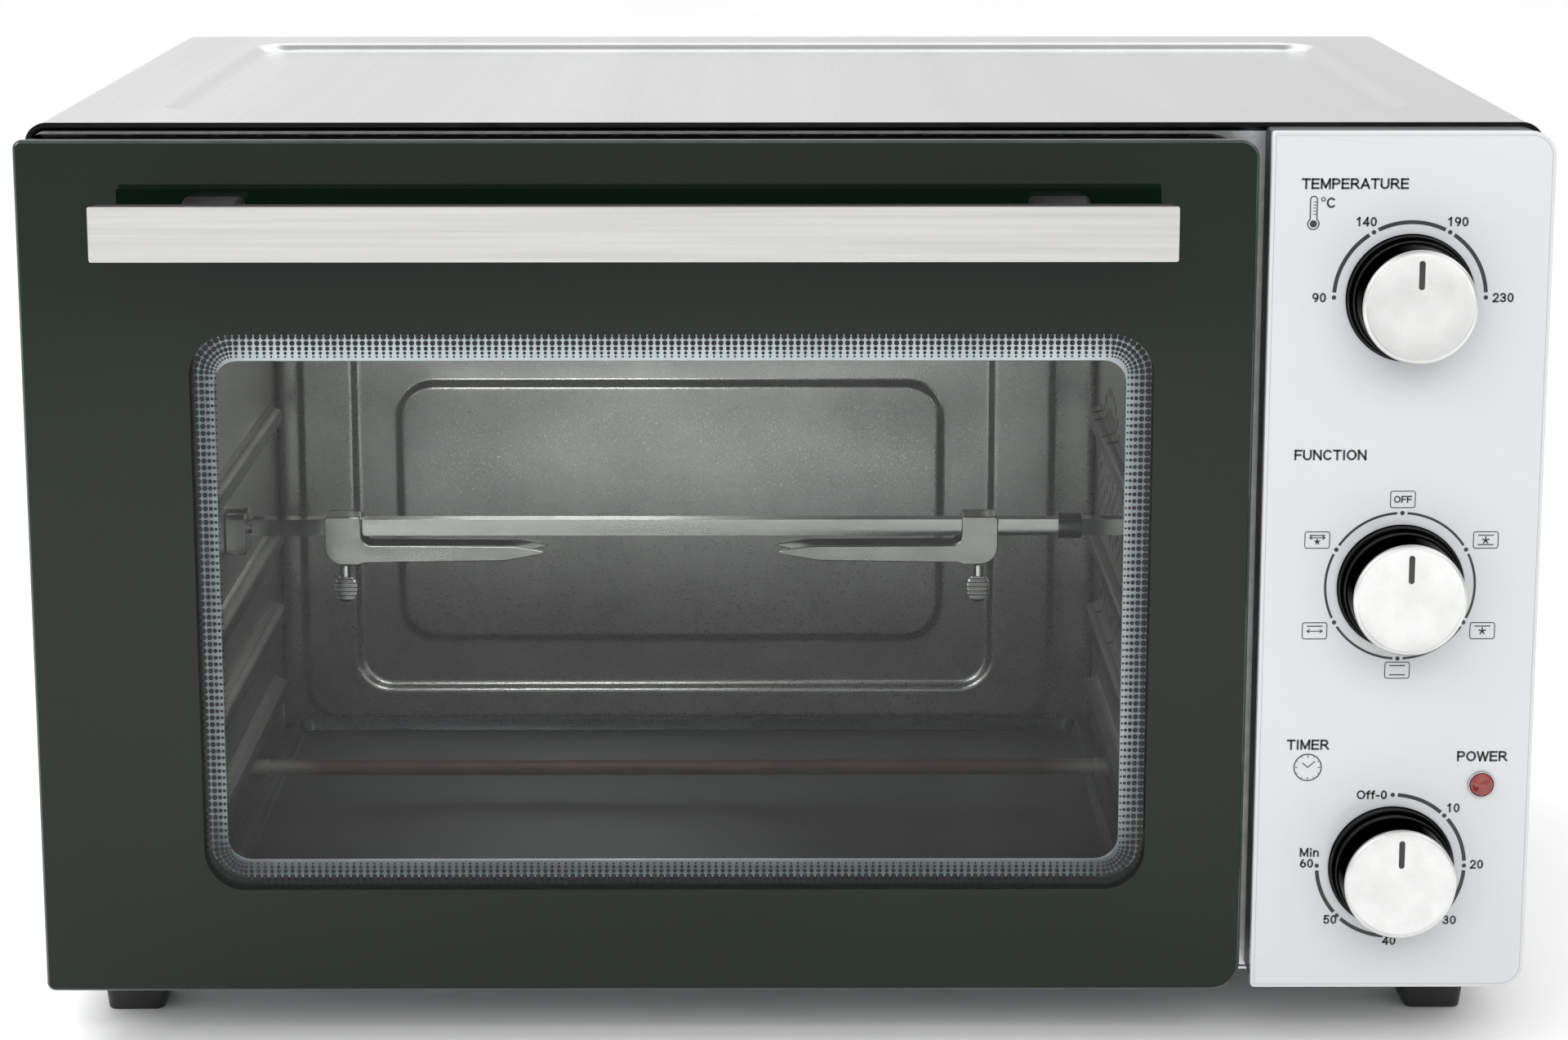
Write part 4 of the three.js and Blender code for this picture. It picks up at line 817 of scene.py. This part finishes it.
def panel_print():
    label, number = 3.75 * MM, 3.3 * MM
    left = PANEL["left"] + 10.4 * MM
    lettering("label_temperature", "TEMPERATURE", left, KNOBS["temperature"].z + 37.0 * MM, label,
              align="LEFT")
    lettering("label_function", "FUNCTION", left, KNOBS["function"].z + 44.3 * MM, label, align="LEFT")
    lettering("label_timer", "TIMER", left + 0.3 * MM, KNOBS["timer"].z + 42.1 * MM, label, align="LEFT")
    lens = middle("indicator_lens")
    lettering("label_power", "POWER", lens.x, lens.z + 8.2 * MM, label)

    scale_ring("temperature", 180, 0, (180, 120, 60, 0), 1.35 * MM)
    scale_ring("function", 0, 360, (90, 30, -30, -90, -150, -210), 0.85 * MM)
    scale_ring("timer", 180, 0, (90, 45, 0, -45, -90, -135, -180), 1.35 * MM)

    x, z = KNOBS["temperature"].x, KNOBS["temperature"].z
    for words, dx, dz in (("90", -30.8, -1.7), ("140", -15.6, 24.3), ("190", 15.4, 24.3), ("230", 31.7, -1.7)):
        lettering(f"degrees_{words}", words, x + dx * MM, z + dz * MM, number)
    x, z = KNOBS["timer"].x, KNOBS["timer"].z
    minutes = (("Off-0", -7.3, 24.2), ("10", 21.2, 19.4), ("20", 30.2, -1.2), ("30", 21.4, -21.6),
               ("40", 0.4, -29.2), ("50", -20.6, -21.4), ("60", -29.4, -0.8), ("Min", -28.5, 3.2))
    for words, dx, dz in minutes:
        lettering("minutes_" + words.replace("-", "_"), words, x + dx * MM, z + dz * MM, number)

    x, z = KNOBS["function"].x, KNOBS["function"].z
    bm = bmesh.new()
    places = ((0, 30.6, ()), (29.0, 16.3, ("top", "fan", "bottom")), (29.0, -15.9, ("top", "fan")),
              (0, -30.0, ("top", "bottom")), (-29.0, -15.9, ("top", "spit")),
              (-29.0, 16.3, ("top", "spit", "fan")))
    for dx, dz, marks in places:
        icon(bm, x + dx * MM, z + dz * MM, marks)
    ink_piece("function_icons", bm)
    lettering("function_off", "OFF", x, z + 29.35 * MM, 2.5 * MM)
    thermometer(left + 4.1 * MM, KNOBS["temperature"].z + 23.3 * MM)
    clock(left + 7.6 * MM, KNOBS["timer"].z + 35.8 * MM)


def thermometer(x, z):
    bm = bmesh.new()
    bulb, stem, top = 1.9 * MM, 1.15 * MM, 11.3 * MM
    ink_arc(bm, (x, z + bulb), bulb, 125, 415, 0.4 * MM, 30)
    ink_dot(bm, x, z + bulb, 1.25 * MM, 18)
    joint = z + bulb + bulb * math.sin(math.radians(55))
    ink_band(bm, [(x - stem, joint), (x - stem, z + top - stem)], 0.4 * MM)
    ink_band(bm, [(x + stem, z + top - stem), (x + stem, joint)], 0.4 * MM)
    ink_arc(bm, (x, z + top - stem), stem, 0, 180, 0.4 * MM, 12)
    for i in range(5):
        level = z + (5.2 + 1.05 * i) * MM
        ink_band(bm, [(x - 0.2 * MM, level), (x + 0.9 * MM, level)], 0.25 * MM)
    ink_arc(bm, (x + 3.2 * MM, z + 10.3 * MM), 0.62 * MM, 0, 359.9, 0.35 * MM, 16)
    ink_piece("thermometer_icon", bm)
    lettering("degrees_c", "C", x + 5.8 * MM, z + 7.3 * MM, 3.6 * MM)


def clock(x, z):
    bm = bmesh.new()
    radius = 4.75 * MM
    ink_arc(bm, (x, z), radius, 0, 359.9, 0.42 * MM, 48)
    for k in range(12):
        turn = math.radians(30 * k)
        inner = radius * (0.74 if k % 3 == 0 else 0.84)
        ink_band(bm, [(x + inner * math.cos(turn), z + inner * math.sin(turn)),
                      (x + radius * 0.93 * math.cos(turn), z + radius * 0.93 * math.sin(turn))], 0.3 * MM)
    ink_band(bm, [(x, z), (x - 1.9 * MM, z + 1.6 * MM)], 0.35 * MM)
    ink_band(bm, [(x, z), (x + 2.5 * MM, z + 2.2 * MM)], 0.35 * MM)
    ink_piece("clock_icon", bm)


def knob(dial):
    """A dark chrome skirt and grip with a satin face that has a bright chamfer and an inlaid pointer."""
    centre = Vector((KNOBS[dial].x, GLASS_FRONT, KNOBS[dial].z))
    body = f"{dial}_dial"
    bm = bmesh.new()
    profile = [(20.8, 0.7), (21.6, 0.75), (22.0, 1.1), (22.0, 2.0), (21.75, 2.6), (21.1, 3.0), (20.85, 3.6),
               (20.82, 3.9), (20.72, 6.3), (20.7, 6.6), (20.45, 7.2), (19.95, 7.5), (19.75, 8.0), (19.73, 8.4),
               (19.37, 18.5), (19.35, 18.9), (19.15, 19.4), (18.6, 19.6)]
    lathe(bm, [(0.02 * MM, 0.7 * MM)] + [(r * MM, h * MM) for r, h in profile] + [(0.02 * MM, 19.6 * MM)],
          centre, "y", 96, -1)
    piece_from(bm, f"{dial}_knob_grip", ["dark_chrome"], 28, body, "dark_chrome", f"{dial}_knob")

    bm = bmesh.new()
    face = [(0.02, 19.8), (19.0, 19.8), (19.3, 20.0), (19.3, 21.0), (19.2, 21.3), (18.55, 21.9), (18.4, 21.98),
            (18.25, 22.0), (18.1, 21.97), (17.9, 21.85), (17.7, 21.82), (10.0, 21.9), (0.02, 21.94)]
    lathe(bm, [(r * MM, h * MM) for r, h in face], centre, "y", 96, -1)
    piece_from(bm, f"{dial}_knob_face", ["satin_cap"], 28, body, "satin_cap", f"{dial}_knob_cap")

    bm = bmesh.new()
    mark = {"left": centre.x - 1.0 * MM, "right": centre.x + 1.0 * MM,
            "low": centre.z + 6 * MM, "high": centre.z + 15.8 * MM}
    front = GLASS_FRONT - 22.04 * MM
    loops = [in_front(rounded(mark, 0.95 * MM, 0, 6), front + 0.6 * MM),
             in_front(rounded(mark, 0.95 * MM, 0, 6), front + 0.03 * MM),
             in_front(rounded(mark, 0.95 * MM, -0.1 * MM, 6), front)]
    skin_loops(bm, loops, [0, 0], 0, 0)
    piece_from(bm, f"{dial}_pointer", ["pointer_ink"], 40, body, "dark_chrome")


def indicator():
    """A ribbed red lens in a thin grey ring."""
    lens = middle("indicator_lens")
    at = Vector((lens.x, GLASS_FRONT, lens.z))
    bm = bmesh.new()
    profile = [(0.02, -12.5), (3.4, -12.5), (3.4, 0.1), (4.0, 0.15), (4.1, 0.7), (3.9, 1.1), (3.3, 1.35),
               (3.1, 1.25), (2.5, 1.65), (2.3, 1.55), (1.6, 1.9), (1.4, 1.8), (0.7, 2.05), (0.02, 2.1)]
    lathe(bm, [(r * MM, h * MM) for r, h in profile], at, "y", 48, -1)
    piece_from(bm, "power_lens", ["red_lens"], 40, "body", "red_lens", "indicator_lens")
    bm = bmesh.new()
    section = [(4.15, 0.05), (4.75, 0.05), (4.75, 0.8), (4.6, 1.05), (4.3, 1.05), (4.15, 0.85)]
    turns = [2 * math.pi * k / 48 for k in range(48)]
    loops = [[(at.x + r * MM * math.cos(turn), at.y - h * MM, at.z + r * MM * math.sin(turn))
              for turn in turns] for r, h in section]
    skin_loops(bm, loops + [loops[0]], None)
    bmesh.ops.remove_doubles(bm, verts=bm.verts, dist=1e-7)
    piece_from(bm, "power_lens_ring", ["motor_steel"], 40, "body", "bright_steel")


def panel_edge_line():
    """A thin grey line painted where the glass starts to slope to its edge: painted shade of that break in the
    glass.
    """
    radii = [1.5 * MM, 8.5 * MM, 8.5 * MM, 1.5 * MM]
    bm = bmesh.new()
    near, far = INK_FRONT + 0.03 * MM, INK_BACK + 0.02 * MM
    outer = rounded(PANEL, radii, -1.15 * MM)
    inner = rounded(PANEL, radii, -1.38 * MM)
    loops = [in_front(outer, far), in_front(outer, near), in_front(inner, near), in_front(inner, far)]
    skin_loops(bm, loops, [0, 0, 0])
    skin_loops(bm, [in_front(inner, far), in_front(outer, far)], [0])
    bmesh.ops.remove_doubles(bm, verts=bm.verts, dist=1e-7)
    return ink_piece("panel_edge_line", bm, "edge_line")


def build_controls():
    refined("control_panel_glass", 0.9, 3)
    panel_edge_line()
    refined("control_panel_housing", 0.5, 2)
    panel_print()
    for dial in KNOBS:
        knob(dial)
    indicator()


# ------------------------------------------------------------------ oven liner

def pressed_sheet(name, us, vs, height, place, key, angle=60):
    """A sheet over a grid of (u, v) with a pressed height at each point."""
    bm = bmesh.new()
    rows = [[bm.verts.new(place(u, v, height(u, v))) for u in us] for v in vs]
    for j in range(len(vs) - 1):
        for i in range(len(us) - 1):
            bm.faces.new((rows[j][i], rows[j][i + 1], rows[j + 1][i + 1], rows[j + 1][i]))
    mesh = mesh_from(name, bm)
    return mesh, object_from(mesh, name, [key], angle)


def edge_distance(u, v, left, right, bottom, top, corner):
    """Distance outside a rounded rectangle, negative inside it."""
    du = abs(u - (left + right) / 2) - (right - left) / 2 + corner
    dv = abs(v - (bottom + top) / 2) - (top - bottom) / 2 + corner
    return math.hypot(max(du, 0), max(dv, 0)) + min(max(du, dv), 0) - corner


def step_up(distance, width):
    t = min(max(-distance / width + 0.5, 0), 1)
    return t * t * (3 - 2 * t)


def thicken(made, mesh, inside, thickness=0.9 * MM):
    """Gives the sheet a thickness away from the point inside the oven."""
    polygon = mesh.polygons[len(mesh.polygons) // 2]
    if (inside - polygon.center).dot(polygon.normal) < 0:
        mesh.flip_normals()
    thick = made.modifiers.new("sheet", "SOLIDIFY")
    thick.thickness = thickness
    thick.offset = -1


def back_wall():
    c = CAVITY
    left, right, bottom, top = c["left"], c["right"], c["low"], c["high"]

    def height(x, z):
        outer = edge_distance(x, z, left + 11 * MM, right - 19 * MM, bottom + 4 * MM, top - 20 * MM, 16 * MM)
        second = edge_distance(x, z, left + 34 * MM, right - 45 * MM, bottom + 19 * MM, top - 42 * MM, 14 * MM)
        third = edge_distance(x, z, left + 53 * MM, right - 67 * MM, bottom + 41 * MM, top - 109 * MM, 15 * MM)
        first_rise, drop = 2.4 * step_up(outer, 4 * MM), 2.6 * step_up(second, 3.6 * MM)
        return (first_rise - drop + 3.4 * step_up(third, 3.2 * MM)) * MM

    wall_y = c["back"]
    soft = 18 * MM
    xs = [(left + 9 * MM, left + 11 * MM + soft), (left + 32 * MM, left + 34 * MM + soft),
          (left + 51 * MM, left + 53 * MM + soft), (right - 67 * MM - soft, right - 65 * MM),
          (right - 45 * MM - soft, right - 43 * MM), (right - 19 * MM - soft, right - 17 * MM)]
    zs = [(bottom + 2 * MM, bottom + 4 * MM + soft), (bottom + 17 * MM, bottom + 19 * MM + soft),
          (bottom + 39 * MM, bottom + 41 * MM + soft), (top - 109 * MM - soft, top - 107 * MM),
          (top - 42 * MM - soft, top - 40 * MM), (top - 20 * MM - soft, top - 18 * MM)]
    across = stops(left + 0.3 * MM, right - 0.3 * MM, xs, 0.9 * MM, 6 * MM)
    upward = stops(bottom + 0.3 * MM, top - 0.3 * MM, zs, 0.9 * MM, 6 * MM)
    mesh, made = pressed_sheet("liner_back_wall", across, upward, height,
                               lambda x, z, h: (x, wall_y - h, z), "liner")
    thicken(made, mesh, Vector((0, 0, 0.15)))
    return finish_piece(made, "body", "liner", "cavity_back_wall")


RACK_RISES = (26, 59, 92, 144)


def rack_height(y, z):
    """Pressed rack guides: ledges with a flat top and a steep underside."""
    near, far = CAVITY["front"] + 20 * MM, CAVITY["back"] - 22 * MM
    deepest = 0
    for rise in RACK_RISES:
        centre = CAVITY["low"] + rise * MM
        distance = edge_distance(y, z, near, far, centre - 5.5 * MM, centre + 4.2 * MM, 4 * MM)
        deepest = max(deepest, 5.6 * MM * step_up(distance + 0.9 * MM, 2.0 * MM))
    return deepest


def side_wall(side):
    c = CAVITY
    sign = 1 if side == "left" else -1
    wall_x = c[side]
    fan = middle("fan_impeller")
    hole_spacing, hole_radius = 8.6 * MM, 2.3 * MM
    holes = []
    if side == "right":
        for circle in range(1, 7):
            for i in range(6 * circle):
                turn = 2 * math.pi * (i + 0.5 * (circle % 2)) / (6 * circle)
                out = circle * hole_spacing
                holes.append((fan.y + out * math.cos(turn), fan.z + out * math.sin(turn), hole_radius))
    rises = [c["low"] + rise * MM for rise in RACK_RISES]
    ledges = [(z - 7 * MM, z + 7 * MM) for z in rises]
    zs = stops(c["low"] - 0.8 * MM, c["high"] + 0.8 * MM, ledges, 0.8 * MM, 7 * MM)
    ys = stops(c["front"], c["back"] + 1 * MM, [(c["front"] + 16 * MM, c["front"] + 26 * MM),
                                               (c["back"] - 28 * MM, c["back"] - 18 * MM)], 0.9 * MM, 8 * MM)
    mesh, made = pressed_sheet(f"liner_{side}_wall", ys, zs, rack_height,
                               lambda y, z, h: (wall_x + sign * h, y, z), "liner")
    thicken(made, mesh, Vector((-0.04, 0, 0.15)))
    cutters = bmesh.new()
    for y, z, radius in holes:
        if rack_height(y, z) < 0.02 * MM and math.hypot(y - SPIT.y, z - SPIT.z) > 14 * MM:
            lathe(cutters, [(radius, -8 * MM), (radius, 8 * MM)], (wall_x, y, z), "x", 14)
    heaters = [middle(f"heater_{level}_{place}")
               for level in ("lower", "upper") for place in ("front", "rear")]
    for heater in heaters:
        lathe(cutters, [(3.9 * MM, -8 * MM), (3.9 * MM, 8 * MM)], (wall_x, heater.y, heater.z), "x", 24)
    if side == "right":
        lathe(cutters, [(8.0 * MM, -8 * MM), (8.0 * MM, 8 * MM)], (wall_x, SPIT.y, SPIT.z), "x", 32)
    tool = bpy.data.objects.new("cutters", mesh_from("cutters", cutters))
    bpy.context.scene.collection.objects.link(tool)
    punch = made.modifiers.new("holes", "BOOLEAN")
    punch.operation = "DIFFERENCE"
    punch.object = tool
    punch.solver = "FAST"
    bpy.context.view_layer.update()
    shaped = bpy.data.meshes.new_from_object(made.evaluated_get(bpy.context.evaluated_depsgraph_get()))
    made.modifiers.clear()
    made.data = shaped
    bpy.data.objects.remove(tool)
    # The ledges get the darker rack_shade material: painted shade for the shadow on and under each ledge.
    made.data.materials.append(MATERIALS["rack_shade"])
    for polygon in made.data.polygons:
        if rack_height(polygon.center.y, polygon.center.z) > 1.2 * MM:
            polygon.material_index = 1
    return finish_piece(made, "body", "liner", f"cavity_{side}_wall")


def heater_tube(name):
    a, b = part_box(name)
    at = middle(name)
    bm = bmesh.new()
    length = b[0] - a[0]
    pin, radius = 5 * MM, (b[2] - a[2]) / 2
    half = length / 2
    ends = [(0.02 * MM, -half), (1.4 * MM, -half), (1.4 * MM, pin - half), (radius, pin - half)]
    collar = [(radius, -half + 13 * MM), (radius * 1.14, -half + 13.3 * MM), (radius * 1.14, -half + 21 * MM),
              (radius, -half + 21.6 * MM)]
    profile = ends + collar
    profile += [(r, -d) for r, d in reversed(profile)]
    lathe(bm, profile, at, "x", 32)
    return piece_from(bm, name + "_tube", ["heater_sheath"], 35, "body", "heater_sheath", name)


def build_liner():
    back_wall()
    for side in ("left", "right"):
        side_wall(side)
    refined("cavity_floor", 0.3, key="tray_steel")
    refined("cavity_ceiling", 0.3)
    refined("crumb_tray", 0.35, key="tray_steel")
    refined("front_frame", 0.3)
    for level in ("lower", "upper"):
        for place in ("front", "rear"):
            heater_tube(f"heater_{level}_{place}")


# ------------------------------------------------------------------ spit

def spit_fork(side):
    """A folded channel that clamps on the rod, with two flat prongs."""
    node = f"fork_{side}"
    sign = 1 if side == "left" else -1
    body = f"{side}_fork"
    thumb = middle(f"thumb_screw_{side}")
    at = Vector((thumb.x, SPIT.y, SPIT.z))
    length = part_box(node)[1][0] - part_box(node)[0][0]
    bm = bmesh.new()
    sheet = 1.6 * MM
    half, above, below = 7 * MM, 5 * MM, 14 * MM
    prong = length - 2 * half
    arc = [(-half + 7 * MM - 7 * MM * math.sin(a), -below + 7 * MM - 7 * MM * math.cos(a))
           for a in (math.pi / 2 * i / 8 for i in range(8, -1, -1))]
    outline = [(-half, above - 1 * MM), (-half, -below + 7.2 * MM)] + arc + [(half - 1 * MM, -below)]
    outline += [(half + 1.5 * MM, -below + 0.8 * MM), (half + prong - 16 * MM, -below + 1.6 * MM)]
    outline += [(half + prong - 1.2 * MM, -below + 4.3 * MM), (half + prong, -below + 5.0 * MM),
                (half + prong - 1.4 * MM, -below + 5.6 * MM), (half + prong - 12 * MM, -below + 7.3 * MM),
                (half + 3.0 * MM, -below + 7.6 * MM), (half + 0.6 * MM, -below + 9.2 * MM),
                (half, -below + 11.5 * MM)]
    outline += [(half, above - 1 * MM), (half - 1 * MM, above), (-half + 1 * MM, above)]

    def plate(y0, y1):
        loops = [[(at.x + sign * u, y, at.z + w) for u, w in outline] for y in (y0, y1)]
        skin_loops(bm, loops, [0], 0, 0)

    plate(at.y - half, at.y - half + sheet)
    plate(at.y + half - sheet, at.y + half)

    def block(x0, x1, z0, z1):
        corners = [(x0, z0), (x1, z0), (x1, z1), (x0, z1)]
        loops = [[(at.x + sign * u, y, at.z + w) for u, w in corners]
                 for y in (at.y - half + sheet * 0.9, at.y + half - sheet * 0.9)]
        skin_loops(bm, loops, [0], 0, 0)

    block(-half + 0.4 * MM, half - 0.4 * MM, above - sheet, above - 0.1 * MM)
    block(-half + 6 * MM, half - 0.3 * MM, -below + 0.2 * MM, -below + sheet + 0.8 * MM)
    made = object_from(mesh_from(f"spit_fork_{side}", bm), f"spit_fork_{side}", ["fork_steel"], 30)
    soft = made.modifiers.new("edges", "BEVEL")
    soft.width = 0.35 * MM
    soft.segments = 2
    soft.limit_method = "ANGLE"
    soft.angle_limit = math.radians(35)
    finish_piece(made, body, "bright_steel", node)


def thumb_screw(side):
    """A screw with a flat oval head that has finger ribs across it."""
    node = f"thumb_screw_{side}"
    a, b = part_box(node)
    at = middle(node)
    bm = bmesh.new()
    head_low, head_high = a[2], a[2] + 11.7 * MM
    half_w = (b[0] - a[0]) / 2
    shaft = 1.8 * MM
    profile = [(0.02 * MM, b[2]), (shaft * 0.7, b[2]), (shaft, b[2] - 0.5 * MM)]
    z = b[2] - 1.2 * MM
    while z > head_high + 3.5 * MM:
        profile += [(shaft, z), (shaft * 0.82, z - 0.35 * MM)]
        z -= 0.7 * MM
    profile += [(shaft * 1.1, z), (shaft * 1.1, head_high - 1 * MM), (0.02 * MM, head_high - 1.2 * MM)]
    lathe(bm, [(r, h) for r, h in profile], (at.x, at.y, 0), "z", 24)
    rows, around = 44, 28
    loops = []
    for j in range(rows + 1):
        t = j / rows
        z = head_low + (head_high - head_low) * t
        swell = math.sqrt(max(1 - (2 * t - 1) ** 2, 0.0004))
        width = half_w * swell
        rib = 0.5 + 0.5 * math.cos(2 * math.pi * t * 7)
        depth = (0.75 + 0.40 * rib) * MM * min(1, swell * 1.6)
        loop = []
        for i in range(around):
            turn = 2 * math.pi * i / around
            cx, cy = math.cos(turn), math.sin(turn)
            u = width * math.copysign(abs(cx) ** 0.8, cx)
            v = depth * math.copysign(abs(cy) ** 0.5, cy)
            loop.append((at.x + u, at.y + v, z))
        loops.append(loop)
    skin_loops(bm, loops, None, 0, 0)
    piece_from(bm, f"thumb_grip_{side}", ["bright_steel"], 50, f"{side}_thumb_screw", "bright_steel", node)


def build_spit():
    refined("spit_rod", 0.7, 3, key="rod_steel")
    refined("spit_cradle", 0.5, 3, key="fork_steel")
    refined("drive_coupling", 0.4, key="rod_steel")
    for side in ("left", "right"):
        spit_fork(side)
        thumb_screw(side)


# ------------------------------------------------------------------ outside details

def build_shell():
    casing_shell()
    casing_hem_and_edge_shade()
    refined("back_panel", 0.35)
    refined("base_plate", 0.35)
    refined("cable_gland", 0.4)
    for side in ("left", "right"):
        refined(f"wall_spacer_{side}", 0.8, 3)
        for end in ("front", "rear"):
            refined(f"foot_{end}_{side}", 0.9, 3)
    back = high("back_panel")[1]
    a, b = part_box("back_panel")
    inset = 9 * MM
    count = 0
    for z in (a[2] + inset, (a[2] + b[2]) / 2, b[2] - inset):
        for x in (a[0] + inset, b[0] - inset):
            screw(f"back_screw_{count}", (x, back, z), ("y", 1), 3.4 * MM, "body")
            count += 1
    for x in (-0.09, 0.09):
        screw(f"back_screw_{count}", (x, back, b[2] - inset), ("y", 1), 3.4 * MM, "body")
        count += 1
        screw(f"back_screw_{count}", (x, back, a[2] + inset), ("y", 1), 3.4 * MM, "body")
        count += 1
    for end in ("front", "rear"):
        for side, sign in (("left", -1), ("right", 1)):
            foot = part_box(f"foot_{end}_{side}")
            at = ((foot[0][0] + foot[1][0]) / 2 + sign * 1.5 * MM, (foot[0][1] + foot[1][1]) / 2,
                  foot[0][2] + 0.6 * MM)
            screw(f"foot_screw_{end}_{side}", at, ("z", -1), 2.4 * MM, "body")
    for side, sign in (("left", -1), ("right", 1)):
        for y in (BODY_FRONT + 20 * MM, CASING_BACK - 14 * MM):
            x = sign * CASING_HALF
            place = "front" if y < 0 else "rear"
            screw(f"side_screw_{side}_{place}", (x, y, CASING_LOW + 9 * MM), ("x", sign), 3.0 * MM, "body")


def dress_inner_nodes():
    """The nodes that stay as they are get their finish from their record slot."""
    for name, node in nodes.items():
        if not node.hide_render:
            node.data.materials.clear()
            node.data.materials.append(MATERIALS[record_slot[name]])


# ------------------------------------------------------------------ stage

def add_light(name, at, target, size, power, colour=(1, 1, 1), glossy=True):
    data = bpy.data.lights.new(name, "AREA")
    data.shape = "RECTANGLE"
    data.size, data.size_y = size
    data.energy = power
    data.color = colour
    made = bpy.data.objects.new(name, data)
    bpy.context.scene.collection.objects.link(made)
    made.location = at
    made.rotation_mode = "QUATERNION"
    made.rotation_quaternion = (Vector(at) - Vector(target)).to_track_quat("Z", "Y")
    made.visible_glossy = glossy
    return made


def sky_colours(tree):
    """White to the left, a little greyer low down and to the right, and dark straight overhead."""
    direction = tree.nodes.new("ShaderNodeTexCoord").outputs["Generated"]
    axes = tree.nodes.new("ShaderNodeSeparateXYZ")
    tree.links.new(direction, axes.inputs[0])
    across = graded(tree, axes.outputs[0], -0.35, 0.35, 0.95, 0.70)
    upward = graded(tree, axes.outputs[2], 0.25, 0.6, 0.0, 1.0)
    mix = tree.nodes.new("ShaderNodeMix")
    tree.links.new(upward, mix.inputs[0])
    tree.links.new(across, mix.inputs[2])
    mix.inputs[3].default_value = 1.5
    zenith = graded(tree, axes.outputs[2], 0.80, 0.92, 1.0, 0.35)
    level = tree.nodes.new("ShaderNodeMath")
    level.operation = "MULTIPLY"
    tree.links.new(mix.outputs[0], level.inputs[0])
    tree.links.new(zenith, level.inputs[1])
    background = tree.nodes["Background"]
    background.inputs["Color"].default_value = (1.0, 1.0, 1.0, 1)
    tree.links.new(level.outputs[0], background.inputs["Strength"])


def build_stage():
    size = 60.0
    bpy.ops.mesh.primitive_grid_add(x_subdivisions=4, y_subdivisions=4, size=size, location=(0, 0, 0))
    floor = bpy.context.object
    floor.name = "studio_floor"
    pale = surface("studio_floor", (0.86, 0.86, 0.86), (0.88, 0.88, 0.88), (0.55, 0.65), 0.0,
                   (1, 1, 1), 2.0, 40.0, 0.0, 0.001)
    floor.data.materials.append(pale)
    world = bpy.data.worlds.new("studio")
    bpy.context.scene.world = world
    world.use_nodes = True
    sky_colours(world.node_tree)
    add_light("overhead", (-0.5, 0.2, 1.8), (0, 0, 0.2), (2.2, 1.6), 20, glossy=False)
    add_light("front_fill", (0.1, -1.5, 1.0), (0, 0, 0.16), (1.4, 0.7), 10, glossy=False)
    knob_centre = ((PANEL["left"] + PANEL["right"]) / 2, GLASS_FRONT, SPIT.z)
    add_light("streak", (-1.3, -0.5, 1.25), knob_centre, (0.25, 0.9), 7)
    inside = (CAVITY["left"] * 0.45, CAVITY["front"] + 25 * MM, CAVITY["high"] - 20 * MM)
    low_right = (CAVITY["right"] * 0.4, CAVITY["back"], SPIT.z - 0.06)
    glow = add_light("oven_glow", inside, low_right, (0.16, 0.02), 0.26)
    glow.visible_camera = False
    scene = bpy.context.scene
    scene.view_settings.view_transform = "Standard"
    scene.view_settings.look = "None"


def build_camera():
    """From in front and a little above, pitched down so that little shift is needed."""
    data = bpy.data.cameras.new("camera")
    camera = bpy.data.objects.new("camera", data)
    bpy.context.scene.collection.objects.link(camera)
    bpy.context.scene.camera = camera
    data.sensor_width = 36.0
    data.lens = 83.6
    data.shift_y = -0.05
    data.clip_start, data.clip_end = 0.05, 50
    camera.location = (-0.0055, -1.3875, 0.465)
    camera.rotation_euler = (math.radians(90 - 11.42), 0, math.radians(-0.24))


build_camera()
build_shell()
build_door()
build_controls()
build_liner()
build_spit()
dress_inner_nodes()
build_stage()
